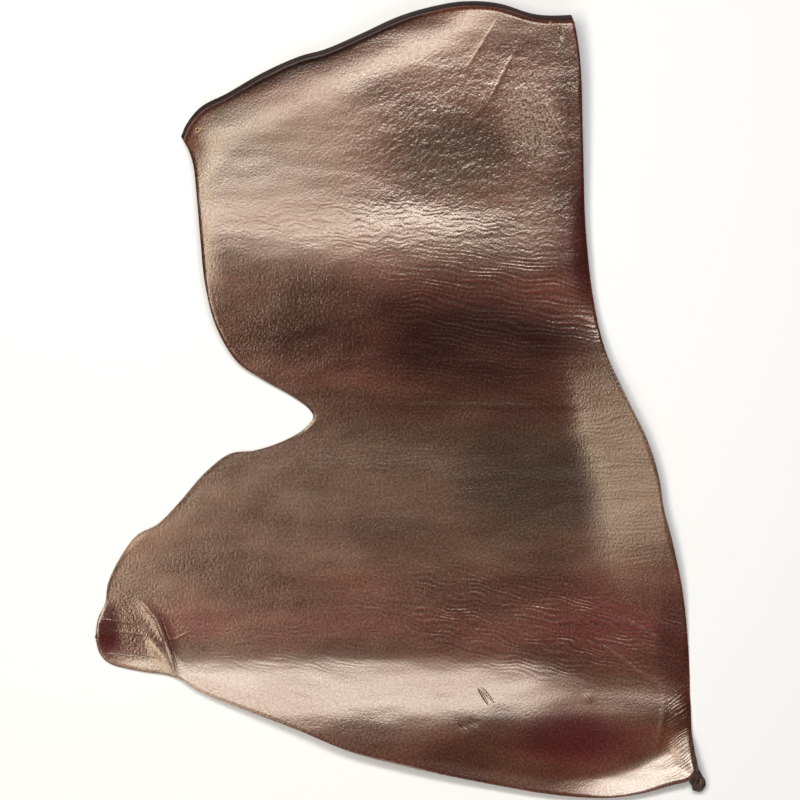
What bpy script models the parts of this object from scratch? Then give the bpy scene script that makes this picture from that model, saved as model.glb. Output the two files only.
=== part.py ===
"""Cordovan leather: a whole horse butt, both halves joined along the spine, laid grain side up.

The hide is one 2 mm sheet. Its outline, its broad arch and its curled borders come from the
tables below, whose lengths are in millimetres. The finished solid is in metres with +Z up: it
rests on z = 0, the tail notch opens toward -X, and the spine runs from the notch toward +X.
"""

from collections import namedtuple

import bmesh
import bpy
import numpy as np
from mathutils import Matrix, Vector

MM = 0.001
THICKNESS = 2.0
CELLS_ACROSS = 40
CELLS_ALONG = 54
BORDER_CROWDING = 0.55
BULGE_REACH = 0.45

EdgePoint = namedtuple("EdgePoint", "x y")
Section = namedtuple("Section", "y left middle right border")
Lift = namedtuple("Lift", "along height width")
Roll = namedtuple("Roll", "drop width")
Swell = namedtuple("Swell", "x y long wide turn height")
Lump = namedtuple("Lump", "x y z half_x half_y half_z")

# The cut edge, one table to a side. Top and bottom run from left to right, the sides downward.
TOP_EDGE = (
    EdgePoint(-328, 396), EdgePoint(-320, 414), EdgePoint(-298, 440), EdgePoint(-261, 459),
    EdgePoint(-207, 490), EdgePoint(-153, 514), EdgePoint(-112, 525), EdgePoint(-60, 547),
    EdgePoint(0, 574), EdgePoint(45, 587), EdgePoint(93, 594), EdgePoint(146, 590),
    EdgePoint(195, 575), EdgePoint(222, 572), EdgePoint(255, 573),
)
RIGHT_EDGE = (
    EdgePoint(255, 573), EdgePoint(261, 549), EdgePoint(268, 495), EdgePoint(272, 375),
    EdgePoint(276, 255), EdgePoint(288, 150), EdgePoint(306, 75), EdgePoint(338, 4),
    EdgePoint(369, -60), EdgePoint(386, -115), EdgePoint(393, -160), EdgePoint(406, -210),
    EdgePoint(423, -292), EdgePoint(433, -390), EdgePoint(436, -502), EdgePoint(442, -555),
)
BOTTOM_EDGE = (
    EdgePoint(-456, -354), EdgePoint(-450, -378), EdgePoint(-436, -393), EdgePoint(-390, -405),
    EdgePoint(-339, -413), EdgePoint(-300, -435), EdgePoint(-225, -464), EdgePoint(-150, -492),
    EdgePoint(-75, -523), EdgePoint(0, -543), EdgePoint(75, -560), EdgePoint(165, -578),
    EdgePoint(240, -590), EdgePoint(308, -594), EdgePoint(360, -587), EdgePoint(402, -575),
    EdgePoint(432, -566), EdgePoint(442, -555),
)
LEFT_EDGE = (
    EdgePoint(-328, 396), EdgePoint(-316, 376), EdgePoint(-308, 351), EdgePoint(-303, 307),
    EdgePoint(-297, 240), EdgePoint(-290, 172), EdgePoint(-274, 110), EdgePoint(-243, 58),
    EdgePoint(-207, 33), EdgePoint(-160, 6), EdgePoint(-136, -12), EdgePoint(-130, -24),
    EdgePoint(-144, -43), EdgePoint(-180, -63), EdgePoint(-218, -75), EdgePoint(-255, -80),
    EdgePoint(-292, -108), EdgePoint(-333, -155), EdgePoint(-364, -186), EdgePoint(-394, -202),
    EdgePoint(-421, -238), EdgePoint(-438, -275), EdgePoint(-442, -303), EdgePoint(-452, -327),
    EdgePoint(-456, -354),
)

# How the hide climbs toward the top edge at four stations across it, in mm per 100 mm.
STATION_X = Section(None, -250, -20, 180, 310)
CLIMB = (
    Section(600, 2, 4, 6, 5),
    Section(525, 2, 4, 7, 6),
    Section(450, 1, 4, 6, 6),
    Section(375, 1, 5, 6, 6),
    Section(300, -6, -2, 2, 5),
    Section(262, -7, -8, -2, 4),
    Section(225, 0, -2, 0, 4),
    Section(180, 8, 8, 8, 7),
    Section(120, 13, 13, 12, 8),
    Section(60, 14, 14, 13, 9),
    Section(0, 12, 13, 12, 8),
    Section(-60, 4, 6, 6, 3),
    Section(-120, 1, 2, 2, 1),
    Section(-190, -1, 0, 1, 1),
    Section(-270, -1, -1, -1, 2),
    Section(-330, 2, 2, 4, 5),
    Section(-365, -9, -8, -6, 1),
    Section(-385, -16, -16, -14, -5),
    Section(-410, -24, -23, -21, -10),
    Section(-440, -29, -28, -27, -15),
    Section(-465, -27, -24, -21, -13),
    Section(-485, -22, -15, -8, -3),
    Section(-510, -17, -6, 3, 5),
    Section(-550, -14, -2, 8, 2),
    Section(-600, 0, 0, 0, -10),
)
VALLEY_Y = -350.0
PROFILE_STEP = 2.0
PROFILE_REACH = 620.0
REST_DEPTH = 1.6
SETTLING = 3.0

# How far the right border and the bottom border curl up, and over what width.
BORDER_LIFT = (
    Lift(620, 0, 70), Lift(220, 0, 75), Lift(150, 1, 80), Lift(75, 8, 85), Lift(0, 17, 100),
    Lift(-60, 22, 115), Lift(-150, 23, 124), Lift(-250, 21, 134), Lift(-320, 12, 110),
    Lift(-390, 4, 85), Lift(-440, 0, 75), Lift(-620, 0, 70),
)
BOTTOM_LIP = (
    Lift(-460, 0, 20), Lift(20, 0, 20), Lift(90, 3, 24), Lift(240, 5, 32), Lift(330, 10, 46), Lift(450, 22, 80),
)
LIFT_SOFTNESS = 0.35
FULL_CURL = 6.0

# Rolled edges: how far the border drops, and over what width.
TOP_SHOULDER = Roll(13, 84)
TOP_ROLL = Roll(16, 22)
SHOULDER_FADE = (30, 150)
SIDE_ROLL = Roll(4, 26)
SIDE_FROM = (400, 250)
FLANK_ROLL = Roll(2.2, 34)
FLANK_FROM = (120, 220)
TRIMMED_ROLL = Roll(1, 8)

# The curled lower left corner, and the pinched crease across it.
SWELLS = (
    Swell(-464, -345, 38, 38, 0, 9),
    Swell(-366, -366, 45, 9, -54, 4),
)

# The shrivelled tail end at the bottom right corner: its neck and its knob.
TAIL_LUMPS = (
    Lump(441, -557, 18.5, 8, 12, 7),
    Lump(445, -572, 11, 13, 12, 11),
)
TAIL_RIDGES = 5
TAIL_RIDGE_DEPTH = 0.13
TAIL_TWIST = 2.2


def smooth_curve(points, steps):
    """Points along a smooth curve through the given ones, with the same number of steps to each span."""
    p = np.array(points, float)
    t = np.concatenate([[0], np.cumsum(np.linalg.norm(np.diff(p, axis=0), axis=1) ** 0.5)])
    slope = np.zeros_like(p)
    before = (p[1:-1] - p[:-2]) / (t[1:-1] - t[:-2])[:, None]
    after = (p[2:] - p[1:-1]) / (t[2:] - t[1:-1])[:, None]
    share = ((t[1:-1] - t[:-2]) / (t[2:] - t[:-2]))[:, None]
    slope[1:-1] = before * (1 - share) + after * share
    slope[0] = (p[1] - p[0]) / (t[1] - t[0])
    slope[-1] = (p[-1] - p[-2]) / (t[-1] - t[-2])
    spans = []
    s = np.linspace(0, 1, steps, endpoint=False)[:, None]
    for i in range(len(p) - 1):
        width = t[i + 1] - t[i]
        start = (2 * s**3 - 3 * s**2 + 1) * p[i] + (s**3 - 2 * s**2 + s) * width * slope[i]
        end = (3 * s**2 - 2 * s**3) * p[i + 1] + (s**3 - s**2) * width * slope[i + 1]
        spans.append(start + end)
    return np.concatenate(spans + [p[-1:]])


def spline(places, values, at):
    """The natural cubic spline through values at rising places, read at other places."""
    t = np.array(places, float)
    v = np.array(values, float).reshape(len(t), -1)
    h = np.diff(t)
    system = np.eye(len(t))
    right_side = np.zeros_like(v)
    for i in range(1, len(t) - 1):
        system[i, i - 1 : i + 2] = h[i - 1], 2 * (h[i - 1] + h[i]), h[i]
        right_side[i] = 6 * ((v[i + 1] - v[i]) / h[i] - (v[i] - v[i - 1]) / h[i - 1])
    bend = np.linalg.solve(system, right_side)
    at = np.clip(at, t[0], t[-1])
    i = np.clip(np.searchsorted(t, at) - 1, 0, len(t) - 2)
    u = ((at - t[i]) / h[i])[:, None]
    sag = (2 * u - 3 * u**2 + u**3) * bend[i] + (u - u**3) * bend[i + 1]
    return (1 - u) * v[i] + u * v[i + 1] - h[i][:, None] ** 2 / 6 * sag


def smooth_step(t):
    """0 below 0, 1 above 1 and a soft step between."""
    t = np.clip(t, 0, 1)
    return t * t * (3 - 2 * t)


def profiles():
    """The y of each profile point, and its height at the four stations, with the valley at zero."""
    rows = CLIMB[::-1]
    y = np.arange(-PROFILE_REACH, PROFILE_REACH + PROFILE_STEP, PROFILE_STEP)
    climb = spline([row.y for row in rows], [row[1:] for row in rows], y) / 100
    rise = np.cumsum((climb[1:] + climb[:-1]) / 2 * PROFILE_STEP, axis=0)
    rise = np.concatenate([np.zeros((1, rise.shape[1])), rise])
    return y, rise - rise[np.argmin(abs(y - VALLEY_Y))]


def broad_height(x, y):
    """The arch of the hide, blended from station to station."""
    along, rise = profiles()
    columns = [np.interp(y, along, rise[:, k]) for k in range(rise.shape[1])]
    stations = STATION_X[1:]
    z = columns[0]
    for k in range(len(stations) - 1):
        share = smooth_step((x - stations[k]) / (stations[k + 1] - stations[k]))
        z = z + share * (columns[k + 1] - columns[k])
    return z


def edge_distance(x, y, edge):
    """How far each point lies from one side's cut edge."""
    line = smooth_curve(edge, 5)
    nearest = np.full(x.shape, np.inf)
    for start, end in zip(line[:-1], line[1:]):
        run = end - start
        t = np.clip(((x - start[0]) * run[0] + (y - start[1]) * run[1]) / (run @ run), 0, 1)
        away = (x - start[0] - t * run[0]) ** 2 + (y - start[1] - t * run[1]) ** 2
        nearest = np.minimum(nearest, away)
    return np.sqrt(nearest)


def roll_down(distance, roll):
    """The height lost at a rolled edge, steepest at the edge itself."""
    return -roll.drop * np.clip(1 - distance / roll.width, 0, 1) ** 2


def roll_to_floor(z, distance, roll):
    """The hide with an edge rolled down to the floor, or by the roll's drop where it lies higher."""
    drop = np.clip(z - REST_DEPTH, 0, roll.drop)
    return z - drop * np.clip(1 - distance / roll.width, 0, 1) ** 2


def border_lift(rows, along, distance):
    """The curl of a border: a soft start, then an even climb to the edge."""
    size = spline([row.along for row in rows], [row[1:] for row in rows], along)
    height = np.clip(size[:, 0], 0, None)
    t = np.clip(1 - distance / size[:, 1], 0, 1)
    ramp = np.where(t < LIFT_SOFTNESS, t * t / (2 * LIFT_SOFTNESS), t - LIFT_SOFTNESS / 2)
    return height, height * ramp / (1 - LIFT_SOFTNESS / 2)


def swell_height(x, y, swell):
    """A soft oval rise, turned about its centre."""
    turn = np.radians(swell.turn)
    along = (x - swell.x) * np.cos(turn) + (y - swell.y) * np.sin(turn)
    across = (y - swell.y) * np.cos(turn) - (x - swell.x) * np.sin(turn)
    return swell.height * np.exp(-((along / swell.long) ** 2) - (across / swell.wide) ** 2)


def settle(z):
    """The hide lies flat on the floor where its shape would go below it, and eases off from there."""
    z = z - REST_DEPTH
    eased = np.where(z < SETTLING, z * z / (2 * SETTLING), z - SETTLING / 2)
    return np.where(z <= 0, 0, eased)


def hide_height(x, y):
    """The height of the flesh side over the floor."""
    top = edge_distance(x, y, TOP_EDGE)
    left = edge_distance(x, y, LEFT_EDGE)
    right = edge_distance(x, y, RIGHT_EDGE)
    bottom = edge_distance(x, y, BOTTOM_EDGE)
    start, end = SHOULDER_FADE
    z = broad_height(x, y)
    z = z + roll_down(top, TOP_SHOULDER) * (1 - smooth_step((x - start) / (end - start)))
    z = z + roll_down(left, TRIMMED_ROLL)
    start, end = FLANK_FROM
    z = z + roll_down(left, FLANK_ROLL) * smooth_step((y - start) / (end - start))
    z = z + border_lift(BOTTOM_LIP, x, bottom)[1]
    curl, lift = border_lift(BORDER_LIFT[::-1], y, right)
    start, end = SIDE_FROM
    rolled = smooth_step((y - start) / (end - start)) * (1 - smooth_step(curl / FULL_CURL))
    z = z + lift + roll_down(right, SIDE_ROLL) * rolled
    for swell in SWELLS:
        z = z + swell_height(x, y, swell)
    return settle(roll_to_floor(z, top, TOP_ROLL))


def even_reading(edge, shares):
    """Points of a side's curve at the given shares of its length."""
    line = smooth_curve(edge, 12)
    run = np.concatenate([[0], np.cumsum(np.linalg.norm(np.diff(line, axis=0), axis=1))])
    at = shares * run[-1]
    return np.stack([np.interp(at, run, line[:, 0]), np.interp(at, run, line[:, 1])], axis=1)


def crowd(shares):
    """Evenly spaced shares drawn toward both ends, so that the rolled borders have more faces."""
    return shares - BORDER_CROWDING * np.sin(2 * np.pi * shares) / (2 * np.pi)


def chord(edge, shares):
    """Points of the straight line between a side's two ends."""
    start = np.array(edge[0], float)
    end = np.array(edge[-1], float)
    return start + shares[:, None] * (end - start)


def plan_points(across, along):
    """The plan of the hide: straight rows from side to side, bent near the ends to follow them."""
    left = even_reading(LEFT_EDGE, 1 - along)
    right = even_reading(RIGHT_EDGE, 1 - along)
    rows = left + across[:, None] * (right - left)
    bottom_bulge = even_reading(BOTTOM_EDGE, across) - chord(BOTTOM_EDGE, across)
    top_bulge = even_reading(TOP_EDGE, across) - chord(TOP_EDGE, across)
    near_bottom = 1 - smooth_step(along / BULGE_REACH)[:, None]
    near_top = 1 - smooth_step((1 - along) / BULGE_REACH)[:, None]
    return rows + near_bottom * bottom_bulge + near_top * top_bulge


def leather_material():
    """Dark reddish brown, glazed cordovan."""
    material = bpy.data.materials.new("glazed_cordovan")
    material.use_nodes = True
    surface = material.node_tree.nodes["Principled BSDF"]
    surface.inputs["Base Color"].default_value = (0.045, 0.018, 0.011, 1)
    surface.inputs["Roughness"].default_value = 0.35
    surface.inputs["Metallic"].default_value = 0
    return material


def new_object(name, mesh_data, collection, material):
    """A smooth-shaded object made from a bmesh."""
    mesh = bpy.data.meshes.new(name)
    mesh_data.to_mesh(mesh)
    mesh_data.free()
    mesh.shade_smooth()
    mesh.materials.append(material)
    piece = bpy.data.objects.new(name, mesh)
    collection.objects.link(piece)
    return piece


def hide_sheet(collection, material):
    """The flesh side as a grid laid over the plan, given its thickness on the grain side."""
    sheet = bmesh.new()
    bmesh.ops.create_grid(sheet, x_segments=CELLS_ACROSS, y_segments=CELLS_ALONG, size=1)
    shares = np.array([vertex.co[:2] for vertex in sheet.verts]) / 2 + 0.5
    plan = plan_points(crowd(shares[:, 0]), crowd(shares[:, 1]))
    height = hide_height(plan[:, 0], plan[:, 1])
    for vertex, (x, y), z in zip(sheet.verts, plan, height):
        vertex.co = Vector((x, y, z)) * MM
    hide = new_object("hide", sheet, collection, material)
    solid = hide.modifiers.new("Thickness", "SOLIDIFY")
    solid.thickness = THICKNESS * MM
    solid.offset = 1
    return hide


def tail_lump(name, lump, collection, material):
    """One twisted, ridged lump of the shrivelled tail end, flat where it rests on the floor."""
    form = bmesh.new()
    bmesh.ops.create_icosphere(form, subdivisions=3, radius=1)
    for vertex in form.verts:
        across, along, up = vertex.co
        around = np.arctan2(up, across) * TAIL_RIDGES + along * TAIL_TWIST * TAIL_RIDGES
        swelling = 1 + TAIL_RIDGE_DEPTH * np.cos(around) * (1 - along * along)
        x = lump.x + lump.half_x * across * swelling
        y = lump.y + lump.half_y * along
        z = max(lump.z + lump.half_z * up * swelling, 0)
        vertex.co = Vector((x, y, z)) * MM
    piece = new_object(name, form, collection, material)
    piece.hide_render = True
    piece.display_type = "WIRE"
    return piece


def join_lump(hide, piece):
    """The lump made one with the hide."""
    union = hide.modifiers.new(piece.name, "BOOLEAN")
    union.operation = "UNION"
    union.object = piece


def centre_on_floor(hide, helpers):
    """Moves the finished plan so that its box is centred over the origin."""
    bpy.context.view_layer.update()
    corners = np.array([tuple(corner) for corner in finished(hide).bound_box])
    middle = (corners.min(axis=0) + corners.max(axis=0)) / 2
    shift = Matrix.Translation((-middle[0], -middle[1], 0))
    for piece in [hide, *helpers]:
        piece.data.transform(shift)


def finished(piece):
    """The piece with its modifiers worked out."""
    return piece.evaluated_get(bpy.context.evaluated_depsgraph_get())


def main():
    """Clears the scene and builds the hide."""
    for piece in list(bpy.data.objects):
        bpy.data.objects.remove(piece)
    scene = bpy.context.scene
    leather = bpy.data.collections.new("cordovan_leather")
    helpers = bpy.data.collections.new("joined_forms")
    scene.collection.children.link(leather)
    scene.collection.children.link(helpers)
    material = leather_material()
    hide = hide_sheet(leather, material)
    lumps = []
    for number, lump in enumerate(TAIL_LUMPS, start=1):
        piece = tail_lump(f"tail_lump_{number}", lump, helpers, material)
        join_lump(hide, piece)
        lumps.append(piece)
    centre_on_floor(hide, lumps)


if __name__ == "__main__":
    main()
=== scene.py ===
"""Cordovan leather, the looks: a whole horse butt, dyed, glazed and laid grain side up.

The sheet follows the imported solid: the same cut edge, arch and curled borders, with the creases,
stretch marks, scars, tack holes and wrinkles of the real hide on its grain side. Plan tables are
in millimetres from the middle of the hide, x to the right and y toward the top edge.
"""

import logging
from collections.abc import Sequence
from dataclasses import dataclass
from enum import Enum
from typing import NamedTuple

import bpy
import numpy as np
from mathutils import Matrix, Vector


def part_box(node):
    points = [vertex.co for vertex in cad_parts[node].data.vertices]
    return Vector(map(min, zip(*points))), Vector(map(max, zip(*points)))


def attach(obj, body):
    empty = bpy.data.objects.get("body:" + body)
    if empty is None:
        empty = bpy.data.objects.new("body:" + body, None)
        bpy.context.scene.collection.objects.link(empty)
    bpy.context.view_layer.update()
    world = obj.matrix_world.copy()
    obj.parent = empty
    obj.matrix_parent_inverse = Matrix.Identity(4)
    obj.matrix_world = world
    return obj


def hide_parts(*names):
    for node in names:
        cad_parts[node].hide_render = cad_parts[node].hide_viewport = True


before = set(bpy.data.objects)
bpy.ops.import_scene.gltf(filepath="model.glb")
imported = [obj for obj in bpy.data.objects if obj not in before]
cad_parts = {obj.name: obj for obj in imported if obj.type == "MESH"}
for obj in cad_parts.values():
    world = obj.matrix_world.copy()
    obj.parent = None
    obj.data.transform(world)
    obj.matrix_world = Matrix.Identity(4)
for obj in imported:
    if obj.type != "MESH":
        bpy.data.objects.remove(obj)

MM = 0.001
NODE = "hide"
BODY = "root"

# The sheet's map and its attributes, besides those of its effects.
PLAN_MAP = "hide_plan"
RAW_RIM = "raw_rim"
RAISED = "raised"
SKIN = "skin"

# A share too small to show. It makes the fine lines wait for each other, because a material holds
# few values at once.
IN_TURN = 1e-9

# A curve's steps between two of its points, where it shapes the form and where it is the cut edge.
FORM_STEPS = 5
PLAN_STEPS = 12

# How many readings it takes to find where rows or columns stand.
CROWD_READINGS = 4001

# How far from a crease's middle it can reach, and the share of its length where its ends turn blunt.
CREASE_REACH = 200.0
BLUNT_END = 0.02

# A zone ends at this many times its oval. A fine line's oval has half of its length and width, and a
# little more.
ZONE_REACH = 1.5
STROKE_LONG = 0.55
STROKE_WIDE = 0.75

Colour = tuple[float, float, float]
Array = np.ndarray
Place = tuple[int, int]

log = logging.getLogger("cordovan")


class EdgePoint(NamedTuple):
    """A point of the cut edge."""

    x: float
    y: float


class Section(NamedTuple):
    """The climb toward the top edge at one y, in mm per 100 mm, at four stations across."""

    y: float
    left: float
    middle: float
    right: float
    border: float


class Lift(NamedTuple):
    """How far a border curls up at one place along it, and over what width."""

    along: float
    height: float
    width: float


class Roll(NamedTuple):
    """How far a border drops, and over what width."""

    drop: float
    width: float


class Spot(NamedTuple):
    """A soft oval: a rise in mm, a hollow where its amount is under 0, or how much of an effect shows."""

    x: float
    y: float
    long: float
    wide: float
    turn: float
    amount: float


class Crease(NamedTuple):
    """A soft ridge, or a trough where its height is negative, bent through three points."""

    x1: float
    y1: float
    x2: float
    y2: float
    x3: float
    y3: float
    width: float
    height: float


class Stroke(NamedTuple):
    """A fine straight line: its ends, width, height and tone."""

    x1: float
    y1: float
    x2: float
    y2: float
    width: float
    height: float
    tone: float


class Uneven(NamedTuple):
    """The width, length and height of broad swellings."""

    width: float
    length: float
    height: float


class Hole(NamedTuple):
    """A tack hole, and how raw its rim is."""

    x: float
    y: float
    radius: float
    raw: float


class Skin(Enum):
    """What a face of the sheet shows."""

    GRAIN = 0
    FLESH = 1
    CUT_EDGE = 2
    # Painted shade: the rolled-down top edge gets a darker, duller finish.
    SHADED_TOP_ROLL = 3


class TreeKind(Enum):
    """The two kinds of node tree that share the wrinkle pattern."""

    SHADER = "ShaderNodeTree"
    GEOMETRY = "GeometryNodeTree"


def smooth_step(t: Array) -> Array:
    """0 below 0, 1 above 1 and a soft step between."""
    t = np.clip(t, 0, 1)
    return t * t * (3 - 2 * t)


def smooth_curve(points: Sequence[Sequence[float]], steps: int) -> Array:
    """A smooth curve through points.

    Args:
        points: the points that it passes.
        steps: how many steps each span gets.

    Returns:
        The points along it, one row each.
    """
    p = np.array(points, float)
    t = np.concatenate([[0], np.cumsum(np.linalg.norm(np.diff(p, axis=0), axis=1) ** 0.5)])
    slope = np.zeros_like(p)
    before = (p[1:-1] - p[:-2]) / (t[1:-1] - t[:-2])[:, None]
    after = (p[2:] - p[1:-1]) / (t[2:] - t[1:-1])[:, None]
    share = ((t[1:-1] - t[:-2]) / (t[2:] - t[:-2]))[:, None]
    slope[1:-1] = before * (1 - share) + after * share
    slope[0] = (p[1] - p[0]) / (t[1] - t[0])
    slope[-1] = (p[-1] - p[-2]) / (t[-1] - t[-2])
    s = np.linspace(0, 1, steps, endpoint=False)[:, None]
    spans = []
    for i in range(len(p) - 1):
        width = t[i + 1] - t[i]
        start = (2 * s**3 - 3 * s**2 + 1) * p[i] + (s**3 - 2 * s**2 + s) * width * slope[i]
        end = (3 * s**2 - 2 * s**3) * p[i + 1] + (s**3 - s**2) * width * slope[i + 1]
        spans.append(start + end)
    return np.concatenate(spans + [p[-1:]])


def spline(places: Sequence[float], values: Sequence, at: Array) -> Array:
    """The natural cubic spline through values at rising places.

    Args:
        places: where the values stand, rising.
        values: one value, or one row of values, for each place.
        at: where to read it.

    Returns:
        One row for each reading.
    """
    t = np.array(places, float)
    v = np.array(values, float).reshape(len(t), -1)
    h = np.diff(t)
    system = np.eye(len(t))
    right_side = np.zeros_like(v)
    for i in range(1, len(t) - 1):
        system[i, i - 1 : i + 2] = h[i - 1], 2 * (h[i - 1] + h[i]), h[i]
        right_side[i] = 6 * ((v[i + 1] - v[i]) / h[i] - (v[i] - v[i - 1]) / h[i - 1])
    bend = np.linalg.solve(system, right_side)
    at = np.clip(at, t[0], t[-1])
    i = np.clip(np.searchsorted(t, at) - 1, 0, len(t) - 2)
    u = ((at - t[i]) / h[i])[:, None]
    sag = (2 * u - 3 * u**2 + u**3) * bend[i] + (u - u**3) * bend[i + 1]
    return (1 - u) * v[i] + u * v[i + 1] - h[i][:, None] ** 2 / 6 * sag


def line_distance(x: Array, y: Array, line: Array) -> tuple[Array, Array]:
    """How far points lie from a line.

    Args:
        x: the points' x.
        y: the points' y.
        line: the line's points, one row each.

    Returns:
        The distance, and the share of the line's length where it is nearest.
    """
    nearest = np.full(x.shape, np.inf)
    share = np.zeros(x.shape)
    lengths = np.linalg.norm(np.diff(line, axis=0), axis=1)
    run_before = np.concatenate([[0], np.cumsum(lengths)])
    for k, (start, end) in enumerate(zip(line[:-1], line[1:])):
        run = end - start
        t = np.clip(((x - start[0]) * run[0] + (y - start[1]) * run[1]) / (run @ run), 0, 1)
        away = (x - start[0] - t * run[0]) ** 2 + (y - start[1] - t * run[1]) ** 2
        closer = away < nearest
        nearest = np.where(closer, away, nearest)
        share = np.where(closer, (run_before[k] + t * lengths[k]) / run_before[-1], share)
    return np.sqrt(nearest), share


def fade(at: Array, span: Sequence[float]) -> Array:
    """0 where a span starts, 1 where it ends, and a soft step between."""
    return smooth_step((at - span[0]) / (span[1] - span[0]))


def oval(x: Array, y: Array, spot: Spot) -> Array:
    """How far points lie from a spot's middle.

    Args:
        x: the points' x.
        y: the points' y.
        spot: the spot.

    Returns:
        The squared distance, 1 on the spot's oval.
    """
    turn = np.radians(spot.turn)
    along = (x - spot.x) * np.cos(turn) + (y - spot.y) * np.sin(turn)
    across = (y - spot.y) * np.cos(turn) - (x - spot.x) * np.sin(turn)
    return (along / spot.long) ** 2 + (across / spot.wide) ** 2


# The cut edge, one table to a side. Top and bottom run from left to right, the sides downward.
TOP_EDGE = (
    EdgePoint(-328, 396), EdgePoint(-320, 414), EdgePoint(-298, 440), EdgePoint(-261, 459),
    EdgePoint(-207, 490), EdgePoint(-153, 514), EdgePoint(-112, 525), EdgePoint(-60, 547),
    EdgePoint(0, 574), EdgePoint(45, 587), EdgePoint(93, 594), EdgePoint(146, 590),
    EdgePoint(195, 575), EdgePoint(222, 572), EdgePoint(255, 573),
)
RIGHT_EDGE = (
    EdgePoint(255, 573), EdgePoint(261, 549), EdgePoint(268, 495), EdgePoint(272, 375),
    EdgePoint(276, 255), EdgePoint(288, 150), EdgePoint(306, 75), EdgePoint(338, 4),
    EdgePoint(369, -60), EdgePoint(386, -115), EdgePoint(393, -160), EdgePoint(406, -210),
    EdgePoint(423, -292), EdgePoint(433, -390), EdgePoint(436, -502), EdgePoint(442, -555),
)
BOTTOM_EDGE = (
    EdgePoint(-456, -354), EdgePoint(-450, -378), EdgePoint(-436, -393), EdgePoint(-390, -405),
    EdgePoint(-339, -413), EdgePoint(-300, -435), EdgePoint(-225, -464), EdgePoint(-150, -492),
    EdgePoint(-75, -523), EdgePoint(0, -543), EdgePoint(75, -560), EdgePoint(165, -578),
    EdgePoint(240, -590), EdgePoint(308, -594), EdgePoint(360, -587), EdgePoint(402, -575),
    EdgePoint(432, -566), EdgePoint(442, -555),
)
LEFT_EDGE = (
    EdgePoint(-328, 396), EdgePoint(-316, 376), EdgePoint(-308, 351), EdgePoint(-303, 307),
    EdgePoint(-297, 240), EdgePoint(-290, 172), EdgePoint(-274, 110), EdgePoint(-243, 58),
    EdgePoint(-207, 33), EdgePoint(-160, 6), EdgePoint(-136, -12), EdgePoint(-130, -24),
    EdgePoint(-144, -43), EdgePoint(-180, -63), EdgePoint(-218, -75), EdgePoint(-255, -80),
    EdgePoint(-292, -108), EdgePoint(-333, -155), EdgePoint(-364, -186), EdgePoint(-394, -202),
    EdgePoint(-421, -238), EdgePoint(-438, -275), EdgePoint(-442, -303), EdgePoint(-452, -327),
    EdgePoint(-456, -354),
)

STATION_X = (-250, -20, 180, 310)
CLIMB = (
    Section(600, 2, 4, 6, 5),
    Section(525, 2, 4, 7, 6),
    Section(450, 1, 4, 6, 6),
    Section(375, 1, 5, 6, 6),
    Section(300, -6, -2, 2, 5),
    Section(262, -7, -8, -2, 4),
    Section(225, 0, -2, 0, 4),
    Section(180, 8, 8, 8, 7),
    Section(120, 13, 13, 12, 8),
    Section(60, 14, 14, 13, 9),
    Section(0, 12, 13, 12, 8),
    Section(-60, 4, 6, 6, 3),
    Section(-120, 1, 2, 2, 1),
    Section(-190, -1, 0, 1, 1),
    Section(-270, -1, -1, -1, 2),
    Section(-330, 2, 2, 4, 5),
    Section(-365, -9, -8, -6, 1),
    Section(-385, -16, -16, -14, -5),
    Section(-410, -24, -23, -21, -10),
    Section(-440, -29, -28, -27, -15),
    Section(-465, -27, -24, -21, -13),
    Section(-485, -22, -15, -8, -3),
    Section(-510, -17, -6, 3, 5),
    Section(-550, -14, -2, 8, 2),
    Section(-600, 0, 0, 0, -10),
)
BORDER_LIFT = (
    Lift(620, 0, 70), Lift(220, 0, 75), Lift(150, 1, 80), Lift(75, 8, 85), Lift(0, 17, 100),
    Lift(-60, 22, 115), Lift(-150, 23, 124), Lift(-250, 21, 134), Lift(-320, 12, 110),
    Lift(-390, 4, 85), Lift(-440, 0, 75), Lift(-620, 0, 70),
)
BOTTOM_LIP = (
    Lift(-460, 0, 20), Lift(20, 0, 20), Lift(90, 3, 24), Lift(240, 5, 32), Lift(330, 10, 46),
    Lift(450, 22, 80),
)

# Soft forms: the raised corner at the tail and the pinch across the lower left corner.
SWELLS = (
    Spot(-464, -345, 38, 38, 0, 9),
    Spot(-366, -366, 45, 9, -54, 4),
)

# Stretch marks, creases and scars of the grain side that stand out from afar.
CREASES = (
    Crease(142, 560, 120, 526, 96, 490, 6, 0.35),
    Crease(174, 524, 142, 470, 110, 420, 6, 0.35),
    Crease(212, 450, 238, 412, 262, 372, 4.5, 0.5),
    Crease(210, 408, 208, 376, 212, 340, 6, -0.4),
    Crease(-30, -6, 130, -8, 290, -9, 4, 0.45),
    Crease(300, -364, 350, -396, 392, -430, 4.5, 0.6),
    Crease(338, -322, 366, -338, 394, -360, 4.5, 0.5),
    Crease(117, -433, 124, -441, 132, -454, 4.5, -0.8),
    Crease(393, -435, 395, -470, 382, -528, 5, 0.9),
    Crease(88, -482, 93, -486, 98, -490, 4.5, -0.9),
    Crease(102, -479, 108, -481, 115, -484, 4.5, -0.9),
    Crease(280, -440, 282, -446, 286, -450, 4.5, 0.8),
    Crease(-388, -303, -362, -334, -339, -400, 6, 1.6),
)
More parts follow.
